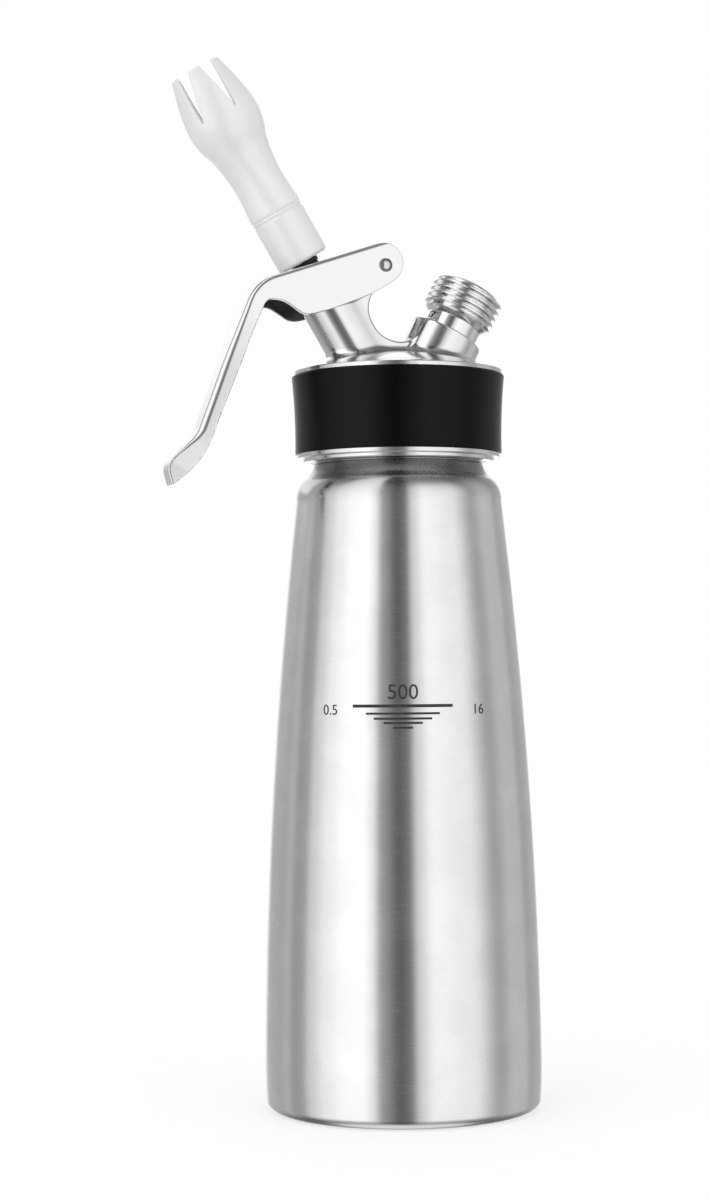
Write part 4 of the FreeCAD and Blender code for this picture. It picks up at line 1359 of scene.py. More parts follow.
@dataclass
class Inlet:
    """Threaded charger inlet with its vent."""

    foot: float = 30.5
    shank: float = 7.2
    shank_low: float = 30.0
    shank_high: float = 34.5
    shoulder: float = 33.52
    neck: float = 8.25
    neck_top: float = 37.2
    core: float = 9.5
    top: float = 48.5
    chamfer: float = 0.8
    end_ease: float = 0.25
    shank_ease: float = 0.1
    depth: float = 1.15
    pitch: float = 1.95
    thread_start: float = 39.2
    plain: float = 1.0
    ridge_half: float = 0.74
    ridge_flank: float = 0.48
    ridge_round: float = 0.2
    run_in: float = 1.3
    run_out: float = 0.9
    flank_scale: float = 0.62
    bore: float = 4.75
    bore_scale: float = 0.75
    bore_ease: float = 0.2
    mouth: float = 0.6
    holder_bore: float = 4.6
    guide: float = 37.6
    vent_level: float = 36.0
    vent_turn: float = 196.0
    vent_slant: tuple[float, float] = (0.88, 0.47)
    vent_half: float = 0.55
    vent_radius: float = 0.42
    vent_inner: float = 3.0
    vent_ease: float = 0.1
    facet_turn: float = 205.0
    facet_level: float = 35.1
    facet_out: float = 7.45
    facet_half: tuple[float, float] = (2.1, 1.6)
    facet_ease: float = 0.15

    def thread(self, x: np.ndarray, y: np.ndarray, z: np.ndarray) -> np.ndarray:
        """Height of the thread over the core, run in and out at its ends.

        Args:
            x: Across, in the plane of symmetry.
            y: Row Y.
            z: Along the inlet's axis.

        Returns:
            The height at each place.
        """
        phase = z - self.thread_start - self.pitch * np.arctan2(y, x) / (2 * math.pi)
        phase = np.mod(phase + self.pitch / 2, self.pitch) - self.pitch / 2
        ridge = np.clip((self.ridge_half - np.abs(phase)) / self.ridge_flank, 0, 1)
        ridge = ridge * ridge * (3 - 2 * ridge) * self.ridge_round + ridge * (1 - self.ridge_round)
        start = np.clip((z - self.neck_top - self.plain) / self.run_in, 0, 1)
        return self.depth * ridge * start * np.clip((self.top - self.run_out / 2 - z) / self.run_out, 0, 1)

    def field(self, x: np.ndarray, y: np.ndarray, z: np.ndarray) -> np.ndarray:
        """Distance field of the inlet, in its own frame.

        Args:
            x: Across, in the plane of symmetry.
            y: Row Y.
            z: Along the inlet's axis.

        Returns:
            The signed distance, scaled down on the thread's flanks.
        """
        radial = np.hypot(x, y)
        rise = np.clip(z - self.neck_top, 0, self.core - self.neck)
        fall = np.clip(z - (self.top - self.chamfer), 0, self.chamfer)
        body = (radial - self.neck - rise + fall - self.thread(x, y, z)) * self.flank_scale
        ends = np.abs(z - (self.top + self.foot) / 2) - (self.top - self.foot) / 2
        solid = blend_max(body, ends, self.end_ease)
        shank = capped(radial, z, self.shank, self.shank_low, self.shank_high, self.shank_ease)
        solid = np.where(z < self.shoulder, np.maximum(solid, shank), solid)
        mouth = radial - self.bore - np.clip(z - (self.top - self.mouth), 0, 1)
        hollow = np.maximum(mouth * self.bore_scale, self.guide - z)
        hollow = np.minimum(hollow, radial - self.holder_bore)
        beside, out = self.facing(x, y, self.facet_turn)
        half_width, half_height = self.facet_half
        facet = np.maximum(self.facet_out - out, np.abs(beside) - half_width)
        facet = np.maximum(facet, np.abs(z - self.facet_level) - half_height)
        beside, out = self.facing(x, y, self.vent_turn)
        lift = z - self.vent_level
        steep, flat = self.vent_slant
        along, aside = steep * lift + flat * beside, steep * beside - flat * lift
        slot = np.hypot(aside, np.maximum(np.abs(along) - self.vent_half, 0)) - self.vent_radius
        vent = np.maximum(slot, self.vent_inner - out)
        solid = blend_max(blend_max(solid, -hollow, self.bore_ease), -facet, self.facet_ease)
        return blend_max(solid, -vent, self.vent_ease)

    @staticmethod
    def facing(x: np.ndarray, y: np.ndarray, degrees: float) -> tuple[np.ndarray, np.ndarray]:
        """Distance beside and along a way out from the axis."""
        turn = math.radians(degrees)
        return y * math.cos(turn) - x * math.sin(turn), x * math.cos(turn) + y * math.sin(turn)

    def build(self, palette: Palette) -> None:
        """Make the inlet and dress the pieces inside it.

        Args:
            palette: The finishes.
        """
        solid = NetSolid(self.field, low=(-11.2, -11.2, 29.6), high=(11.2, 11.2, 49.2), step=0.2)
        inlet = solid.build("inlet_thread", INLET)
        dress(inlet, palette["turned"], "head", ["charger_nipple"])
        repaint(palette["machined"], "pin_holder", "piercing_pin")
        repaint(palette["black_rubber"], "inlet_seal")
        repaint(palette["grey_rubber"], "return_flap")


# ---------------------------------------------------------------- valve and lever
def node_levels(name: str) -> tuple[float, float]:
    """Lowest and highest level of a CAD node on the valve's axis.

    Args:
        name: Name of the node.

    Returns:
        Both levels.
    """
    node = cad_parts[name]
    levels = [VALVE.local(v.co.x / MM, v.co.z / MM)[1] for v in node.data.vertices]
    return min(levels), max(levels)


@dataclass
class ValveStem:
    """Hollow stem, its collar and the sealed pieces in the tube."""

    hole: float = 3.46
    collar: float = 6.9
    rim: float = 0.7

    def build(self, palette: Palette) -> None:
        """Make the collar and dress the other nodes.

        Args:
            palette: The finishes.
        """
        low, high = node_levels("lever_collar")
        corners = [Corner(self.hole, low), Corner(self.collar, low, ease=0.25),
                   Corner(self.collar, high - self.rim, bend=self.rim, side=-1),
                   Corner(self.collar - self.rim, high), Corner(self.hole, high)]
        collar = turned("collar_nut", corners, VALVE, segments=96)
        dress(collar, palette["machined"], "stem", ["lever_collar"])
        repaint(palette["machined"], "valve_stem", "seal_nut", "tip_insert")
        repaint(palette["black_rubber"], "valve_seal", "gland_ring")
        repaint(palette["grey_rubber"], "head_gasket")
        repaint(palette["nylon"], "guide_bush")


@dataclass(frozen=True)
class ReturnSpring:
    """Coil spring between the bush and the collar, made at one length; it doesn't shorten as the stem goes
    down.

    Args:
        radius: Radius of the coil.
        wire: Radius of its wire.
        turns: Number of turns.
        travel: How much it shortens; not used.
        steps: Steps in a turn.
        sides: Sides of the wire.
    """

    radius: float = 5.1
    wire: float = 0.5
    turns: int = 6
    travel: float = 2.64
    steps: int = 60
    sides: int = 16

    def coil(self, low: float, high: float) -> bpy.types.Mesh:
        """Sweep the wire round the axis.

        Args:
            low: Level of the coil's foot.
            high: Level of its top.

        Returns:
            The mesh.
        """
        climb = (high - low - 2 * self.wire) / (2 * math.pi * self.turns)
        vertices: list[tuple[float, float, float]] = []
        for turn in np.linspace(0, 2 * math.pi * self.turns, self.turns * self.steps + 1):
            out = np.array([math.cos(turn), math.sin(turn), 0])
            ahead = np.array([-self.radius * out[1], self.radius * out[0], climb])
            rise = np.cross(ahead / np.linalg.norm(ahead), out)
            centre = self.radius * out + np.array([0, 0, low + self.wire + climb * turn])
            for side in np.arange(self.sides) * 2 * math.pi / self.sides:
                point = centre + self.wire * (math.cos(side) * out + math.sin(side) * rise)
                vertices.append(tuple((point * MM).tolist()))
        last = len(vertices) - self.sides
        faces: list[tuple[int, ...]] = [tuple(reversed(range(self.sides))), tuple(range(last, len(vertices)))]
        for base in range(0, last, self.sides):
            ring = [(base + side, base + (side + 1) % self.sides) for side in range(self.sides)]
            faces += [(a, b, b + self.sides, a + self.sides) for a, b in ring]
        return smooth_mesh("return_spring", vertices, faces)

    def build(self, palette: Palette) -> None:
        """Make the coil.

        Args:
            palette: The finishes.
        """
        low, high = node_levels("stem_spring")
        piece = weld_object("return_spring", self.coil(low, high), VALVE)
        dress(piece, palette["spring"], "head", ["stem_spring"])
        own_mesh(piece)


@dataclass(frozen=True)
class Run:
    """One straight run or bend of the lever's back.

    Args:
        start: Its first point, X and Z.
        heading: Direction it starts in, in radians.
        length: Its length.
        turn: Angle it turns through, in radians, positive to the left.
    """

    start: tuple[float, float]
    heading: float
    length: float
    turn: float

    def end(self) -> tuple[tuple[float, float], float]:
        """Last point and the direction there.

        Returns:
            The point, and the direction in radians.
        """
        x, z = self.start
        if not self.turn:
            ahead = (x + math.cos(self.heading) * self.length, z + math.sin(self.heading) * self.length)
            return ahead, self.heading
        radius, last = self.length / self.turn, self.heading + self.turn
        return (x + radius * (math.sin(last) - math.sin(self.heading)),
                z + radius * (math.cos(self.heading) - math.cos(last))), last

    def measure(self, x: np.ndarray, z: np.ndarray, open_start: bool,
                open_end: bool) -> tuple[np.ndarray, np.ndarray]:
        """Distance from the run, and depth on its left.

        Args:
            x: Row X.
            z: Row Z.
            open_start: Whether it goes on for ever before its start.
            open_end: Whether it goes on for ever after its end.

        Returns:
            Distance to the nearest point of the run, and the signed depth.
        """
        sx, sz = self.start
        if not self.turn:
            dx, dz = math.cos(self.heading), math.sin(self.heading)
            along = (x - sx) * dx + (z - sz) * dz
            depth = -(x - sx) * dz + (z - sz) * dx
            held = np.clip(along, -np.inf if open_start else 0, np.inf if open_end else self.length)
            return np.hypot(depth, along - held), depth
        radius = self.length / self.turn
        cx, cz = sx - radius * math.sin(self.heading), sz + radius * math.cos(self.heading)
        span = np.hypot(x - cx, z - cz)
        depth = (radius - span) if radius > 0 else (span + radius)
        first = math.atan2(sz - cz, sx - cx)
        swept = (np.arctan2(z - cz, x - cx) - first) * np.sign(self.turn)
        swept = np.mod(swept + math.pi, 2 * math.pi) - math.pi
        within = (swept >= 0) & (swept <= abs(self.turn))
        return np.where(within, np.abs(depth), np.inf), depth


@dataclass
class Lever:
    """Pressed sheet lever: a channel over the valve that runs down to a curled handle.

    Args:
        crest: Height of the back over the pivot.
        sheet: Thickness of the sheet.
        wide: Half width over the valve.
        narrow: Half width of the handle.
        taper_top: Level above which it is wide.
        taper_foot: Level below which it is narrow.
        deck_bend: Rounding of the back's edges over the valve.
        grip_bend: The same on the handle.
        toe_bend: The same at the toe.
        toe_top: Level below which the toe's rounding starts.
        toe_foot: Level below which it is whole.
        splay: How much wider the flanks stand for each millimetre down.
        splay_depth: Depth below which they stand straight.
        slim: How much the half width falls towards the toe.
        slim_top: Level below which it falls.
        slim_foot: Level at which it has fallen.
        draw: How much further the rounding reaches down the handle's flanks.
        pin: Radius of the pin's hole.
        slot_middle: Middle of the stem's slot, across the valve's axis.
        slot_reach: Half its length.
        slot_half: Half its width.
        slot_floor: Level on the valve's axis above which it cuts.
        slot_ease: Rounding of its edges.
        inner_bend: Rounding inside the channel's corners.
        sheet_ease: Rounding of the sheet's edges.
        rim_ease: Rounding of the flanks' cut edges.
        hole_ease: Rounding of the hole's edges.
        course: The back from crest to toe: length of each straight run with 0, and radius of
            each bend with its turn in degrees.
        lower: Edge of the flank over the valve, along and down from the crest.
        flange: Edge of the handle's flank, as row X and Z.
    """

    crest: float = 6.65
    sheet: float = 1.5
    wide: float = 9.75
    narrow: float = 5.25
    taper_top: float = 233.0
    taper_foot: float = 209.0
    deck_bend: float = 1.5
    grip_bend: float = 1.5
    toe_bend: float = 0.4
    toe_top: float = 194.0
    toe_foot: float = 187.0
    splay: float = 0.1
    splay_depth: float = 7.0
    slim: float = 1.5
    slim_top: float = 206.0
    slim_foot: float = 184.0
    draw: float = 0.4
    pin: float = 1.85
    slot_middle: float = 1.0
    slot_reach: float = 4.8
    slot_half: float = 3.9
    slot_floor: float = 42.5
    slot_ease: float = 0.3
    inner_bend: float = 1.2
    sheet_ease: float = 0.15
    rim_ease: float = 0.25
    hole_ease: float = 0.2
    course: tuple[tuple[float, float], ...] = (
        (32.5, 0.0), (12.0, 51.6), (38.0, 0.0), (10.0, -25.9), (7.2, 0.0), (4.5, 62.0), (3.5, 0.0))
    lower: tuple[tuple[float, float], ...] = (
        (-0.2, 0.0), (-2.6, 0.75), (-4.6, 2.7), (-5.5, 5.4), (-5.1, 8.0), (-3.6, 10.2), (-1.2, 11.5),
        (2.0, 12.3), (5.3, 13.0), (10.0, 13.5), (15.0, 13.85), (19.9, 13.95), (23.6, 13.85), (26.1, 13.5),
        (27.9, 12.6), (29.3, 10.9), (30.4, 9.5), (31.8, 8.0), (33.8, 6.8), (35.9, 6.3), (37.3, 6.8),
        (38.4, 7.9))
    flange: tuple[tuple[float, float], ...] = (
        (-43.3, 225.7), (-45.5, 220.0), (-47.4, 214.2), (-50.0, 207.7), (-52.6, 201.2), (-54.3, 197.0),
        (-55.7, 193.0), (-57.4, 189.0), (-59.8, 185.3), (-63.1, 181.9), (-66.4, 179.2), (-68.1, 178.05))

    def runs(self) -> list[Run]:
        """The back's runs and bends from the crest to the toe.

        Returns:
            The runs in order.
        """
        lean = math.radians(DECK_FALL)
        point = (PIVOT[0] - self.crest * math.sin(lean), PIVOT[1] + self.crest * math.cos(lean))
        heading = math.pi + lean
        made: list[Run] = []
        for size, turn in self.course:
            length = size * math.radians(abs(turn)) if turn else size
            made.append(Run(point, heading, length, math.radians(turn)))
            point, heading = made[-1].end()
        return made

    def depth(self, x: np.ndarray, z: np.ndarray) -> np.ndarray:
        """Depth under the lever's back, positive inside.

        Args:
            x: Row X.
            z: Row Z.

        Returns:
            The signed depth.
        """
        runs = self.runs()
        nearest, found = None, None
        for index, run in enumerate(runs):
            gap, depth = run.measure(x, z, index == 0, index == len(runs) - 1)
            if nearest is None:
                nearest, found = gap, depth
            else:
                closer = gap < nearest - TINY
                nearest, found = np.where(closer, gap, nearest), np.where(closer, depth, found)
        return found

    def side(self) -> list[tuple[float, float]]:
        """Side outline below and ahead of the back, closed far above it.

        Returns:
            The corners in order, smoothed.
        """
        lean = math.radians(DECK_FALL)
        start = self.runs()[0].start
        down = (math.sin(lean), -math.cos(lean))
        way = (-math.cos(lean), -math.sin(lean))
        points = [(start[0] + a * way[0] + b * down[0], start[1] + a * way[1] + b * down[1])
                  for a, b in self.lower]
        points += list(self.flange)
        smooth: list[tuple[float, float]] = []
        for index in range(len(points) - 1):
            p = [np.array(points[min(max(index + k, 0), len(points) - 1)]) for k in (-1, 0, 1, 2)]
            for t in (0.0, 0.25, 0.5, 0.75):
                spot = 0.5 * (2 * p[1] + (p[2] - p[0]) * t + (2 * p[0] - 5 * p[1] + 4 * p[2] - p[3]) * t**2
                              + (3 * p[1] - p[0] - 3 * p[2] + p[3]) * t**3)
                smooth.append((float(spot[0]), float(spot[1])))
        smooth.append(points[-1])
        beyond, below, above = points[-1][0] - 8.0, points[-1][1] - 1.0, 262.0
        return smooth + [(beyond, below), (beyond, above), (smooth[0][0], above)]

    def skin(self, x: np.ndarray, y: np.ndarray, z: np.ndarray) -> tuple[np.ndarray, np.ndarray]:
        """Half width, and distance outside the lever's drawn skin.

        Args:
            x: Row X.
            y: Row Y.
            z: Row Z.

        Returns:
            The half width at each level, and the signed distance.
        """
        share = np.clip((z - self.taper_foot) / (self.taper_top - self.taper_foot), 0, 1)
        share = share * share * (3 - 2 * share)
        half = self.narrow + (self.wide - self.narrow) * share
        slimmed = np.clip((self.slim_top - z) / (self.slim_top - self.slim_foot), 0, 1)
        half = half - self.slim * slimmed**2
        depth = self.depth(x, z)
        half = half + self.splay * np.clip(depth, 0, self.splay_depth) * (1 - share)
        toe = np.clip((self.toe_top - z) / (self.toe_top - self.toe_foot), 0, 1)
        bend = self.grip_bend + (self.deck_bend - self.grip_bend) * share
        bend = bend + (self.toe_bend - self.grip_bend) * toe
        reach = 1 + self.draw * (1 - share)
        over_side = (np.abs(y) - half) / bend + 1
        over_back = 1 - depth / (bend * reach)
        outside = np.hypot(np.maximum(over_side, 0), np.maximum(over_back, 0))
        return half, (outside + np.minimum(np.maximum(over_side, over_back), 0) - 1) * bend

    def field(self, x: np.ndarray, y: np.ndarray, z: np.ndarray) -> np.ndarray:
        """Distance field of the lever, in the row frame.

        Args:
            x: Row X.
            y: Row Y.
            z: Row Z.

        Returns:
            The signed distance.
        """
        half, skin = self.skin(x, y, z)
        hollow = blend_max(np.abs(y) - half + self.sheet, self.sheet - self.depth(x, z), self.inner_bend)
        shell = blend_max(skin, -hollow, self.sheet_ease)
        solid = blend_max(shell, polygon_field(x, z, self.side()), self.rim_ease)
        pin = np.hypot(x - PIVOT[0], z - PIVOT[1]) - self.pin
        across, along = VALVE.local(x, z)
        slot = np.maximum(np.abs(across - self.slot_middle) - self.slot_reach, np.abs(y) - self.slot_half)
        slot = np.maximum(slot, self.slot_floor - along)
        return blend_max(blend_max(solid, -pin, self.hole_ease), -slot, self.slot_ease)

    def build(self, palette: Palette) -> None:
        """Make the lever, with painted shade on the inside of its channel.

        Args:
            palette: The finishes.
        """
        solid = NetSolid(self.field, low=(-75.5, -10.6, 176.4), high=(0.6, 10.6, 250.0), step=0.3)
        sheet = solid.build("lever_sheet", UPRIGHT)
        dress(sheet, palette["satin"], "lever", ["lever"])
        # Faces inside the channel take the dark steel, which paints shade there.
        sheet.data.materials.append(palette["pressed"])
        centres = np.array([polygon.center for polygon in sheet.data.polygons]) / MM
        depth = -self.skin(*centres.T)[1]
        inside = (depth > INSIDE_SHADE_SHARE * self.sheet).astype(np.int32)
        sheet.data.polygons.foreach_set("material_index", inside)


@dataclass
class PivotPin:
    """Pin of the lever, with a dome and a groove at each end.

    Args:
        half: Half its length.
        dome: Radius of the dome's curve.
        end: Radius, distance from the end and ease of each corner from the dome out.
    """

    half: float = 10.0
    dome: float = 3.4
    end: tuple[tuple[float, float, float], ...] = (
        (1.25, 0.24, 0.05), (1.38, 0.8, 0.0), (1.52, 0.3, 0.05), (1.7, 0.5, 0.1))

    def build(self, palette: Palette) -> None:
        """Make the pin.

        Args:
            palette: The finishes.
        """
        lower = [Corner(radius, inset - self.half, ease) for radius, inset, ease in self.end]
        upper = [Corner(radius, self.half - inset, ease) for radius, inset, ease in reversed(self.end)]
        upper[-1] = replace(upper[-1], bend=self.dome, side=-1)
        corners = [Corner(0, -self.half, bend=self.dome, side=-1), *lower, *upper, Corner(0, self.half)]
        pin = turned("pivot_pin", corners, closed=False, segments=64)
        level = Matrix.Rotation(math.radians(90), 4, "X")
        pin.matrix_world = Matrix.Translation((PIVOT[0] * MM, 0, PIVOT[1] * MM)) @ level
        dress(pin, palette["machined"], "head", ["lever_pin"])


# ---------------------------------------------------------------- decorator tip
@dataclass
class Tip:
    """White decorator tip with converging petals.

    Args:
        base: Level of the tip's foot on the valve's axis.
        end: Level of its petals' ends.
        levels: Levels at which the outside is given.
        radii: Its radius at each of them.
        flat_levels: How many of the first levels it passes without a slope.
        grooves: Level, depth and width of each groove round the foot.
        foot_ease: Rounding of the foot's rim.
        foot_radius: Radius at which that rounding starts.
        wall: Thickness of the body's wall.
        thinning: How much thinner the petals' ends are.
        thin_from: Level above which the wall thins.
        thin_over: Length over which it does.
        pocket: Level of the cavity's floor.
        nest: Radius, middle level and half height of the nest for the threaded bush.
        foot_hole: Radius of the hole under it, and the level it reaches.
        petals: Number of petals.
        slot_root: Level of the slots' roots.
        slot_clocking: Direction of the first slot, in degrees.
        slot_half: Half width of a slot at its root.
        slot_flare: How much wider that is at the end.
        slot_over: Share of the slots' length up to which they flare.
        slot_scale: Share that keeps the slots' flanks true to distance.
        side_scale: Share that keeps the leaning outside true to distance.
        slot_ease: Rounding of the slots' edges.
        end_ease: Rounding of the petals' ends.
        inner_ease: Rounding of the cavity's edges.
    """

    base: float = 54.95
    end: float = 117.3
    levels: tuple[float, ...] = (
        54.95, 62.0, 69.9, 71.2, 75.3, 80.5, 86.0, 91.4, 95.8, 99.9, 104.9, 110.3, 115.5, 117.6)
    radii: tuple[float, ...] = (
        7.68, 7.71, 7.74, 7.9, 7.57, 7.3, 7.65, 8.65, 10.15, 10.85, 10.55, 9.55, 8.25, 7.78)
    flat_levels: int = 3
    grooves: tuple[tuple[float, float, float], ...] = ((69.7, 0.26, 0.34), (70.85, 0.30, 0.36))
    foot_ease: float = 1.1
    foot_radius: float = 6.58
    wall: float = 1.7
    thinning: float = 0.6
    thin_from: float = 100.0
    thin_over: float = 16.0
    pocket: float = 67.02
    nest: tuple[float, float, float] = (5.42, 61.75, 5.27)
    foot_hole: tuple[float, float] = (4.0, 60.0)
    petals: int = 6
    slot_root: float = 102.6
    slot_clocking: float = 42.0
    slot_half: float = 0.25
    slot_flare: float = 1.9
    slot_over: float = 1.2
    slot_scale: float = 0.98
    side_scale: float = 0.92
    slot_ease: float = 0.5
    end_ease: float = 0.6
    inner_ease: float = 0.35

    def wall_radius(self, level: np.ndarray) -> np.ndarray:
        """Smooth outside radius at a level on the valve's axis.

        Args:
            level: The levels.

        Returns:
            The radius at each of them.
        """
        levels, radii = np.array(self.levels), np.array(self.radii)
        steps = np.diff(radii) / np.diff(levels)
        slopes = np.concatenate([[steps[0]], (steps[1:] + steps[:-1]) / 2, [steps[-1]]])
        slopes[:self.flat_levels] = 0.0
        held = np.clip(level, levels[0], levels[-1])
        index = np.clip(np.searchsorted(levels, held, side="right") - 1, 0, len(levels) - 2)
        width = levels[index + 1] - levels[index]
        t = (held - levels[index]) / width
        return ((2 * t**3 - 3 * t**2 + 1) * radii[index] + (t**3 - 2 * t**2 + t) * width * slopes[index]
                + (3 * t**2 - 2 * t**3) * radii[index + 1] + (t**3 - t**2) * width * slopes[index + 1])

    def field(self, x: np.ndarray, y: np.ndarray, z: np.ndarray) -> np.ndarray:
        """Distance field of the tip, in the valve's frame.

        Args:
            x: Across, in the plane of symmetry.
            y: Row Y.
            z: Along the valve's axis.

        Returns:
            The signed distance.
        """
        radial, wall = np.hypot(x, y), self.wall_radius(z)
        groove = sum(deep * np.exp(-((z - level) / wide) ** 2) for level, deep, wide in self.grooves)
        outer = (radial - wall + groove) * self.side_scale
        ends = np.abs(z - (self.base + self.end) / 2) - (self.end - self.base) / 2
        solid = blend_max(outer, ends, self.end_ease)
        rim = self.base + self.foot_ease
        foot = np.hypot(np.maximum(radial - self.foot_radius, 0), np.maximum(rim - z, 0)) - self.foot_ease
        solid = np.where(z < rim, np.maximum(solid, foot), solid)

        thickness = self.wall - self.thinning * np.clip((z - self.thin_from) / self.thin_over, 0, 1)
        cavity = np.maximum(radial - wall + thickness, self.pocket - z)
        nest_radius, nest_level, nest_half = self.nest
        nest = np.maximum(radial - nest_radius, np.abs(z - nest_level) - nest_half)
        hole = np.maximum(radial - self.foot_hole[0], z - self.foot_hole[1])
        solid = blend_max(solid, -np.minimum(np.minimum(cavity, nest), hole), self.inner_ease)

        sector = 360.0 / self.petals
        turn = np.degrees(np.arctan2(y, x)) - self.slot_clocking
        turn = np.mod(turn + sector / 2, sector) - sector / 2
        beside = radial * np.sin(np.radians(turn))
        rise = np.clip((z - self.slot_root) / (self.end - self.slot_root), 0, self.slot_over)
        gap = self.slot_half + self.slot_flare * rise
        slot = np.maximum((np.abs(beside) - gap) * self.slot_scale, self.slot_root - z)
        return blend_max(solid, -slot, self.slot_ease)

    def build(self, palette: Palette) -> None:
        """Make the tip.

        Args:
            palette: The finishes.
        """
        solid = NetSolid(self.field, low=(-11.4, -11.4, 54.45), high=(11.4, 11.4, 117.9), step=0.27)
        shell = solid.build("tip_shell", VALVE)
        dress(shell, palette["white_plastic"], "tip", ["decorator_tip"])


@dataclass
class Washer:
    """Black washer under the tip, with a black sleeve round the stem below it.

    Args:
        hole: Radius of its hole.
        sleeve: Outside radius of the sleeve.
        foot: Level of the sleeve's lower end on the valve's axis.
        edge: Outside radius of the washer.
        gap: Play between it and the tip.
        thick: Its thickness with that play.
    """

    hole: float = 3.46
    sleeve: float = 3.72
    foot: float = 50.2
    edge: float = 4.1
    gap: float = 0.08
    thick: float = 1.28

    def build(self, palette: Palette) -> None:
        """Make the washer.

        Args:
            palette: The finishes.
        """
        low, high = Tip.base - self.thick, Tip.base - self.gap
        corners = [
            Corner(self.hole, self.foot), Corner(self.sleeve, self.foot, ease=0.1),
            Corner(self.sleeve, low), Corner(self.edge, low, ease=0.25),
            Corner(self.edge, high, ease=0.25), Corner(self.hole, high)]
        piece = turned("tip_washer", corners, VALVE, segments=96)
        dress(piece, palette["black_rubber"], "washer", ["tip_gasket"])


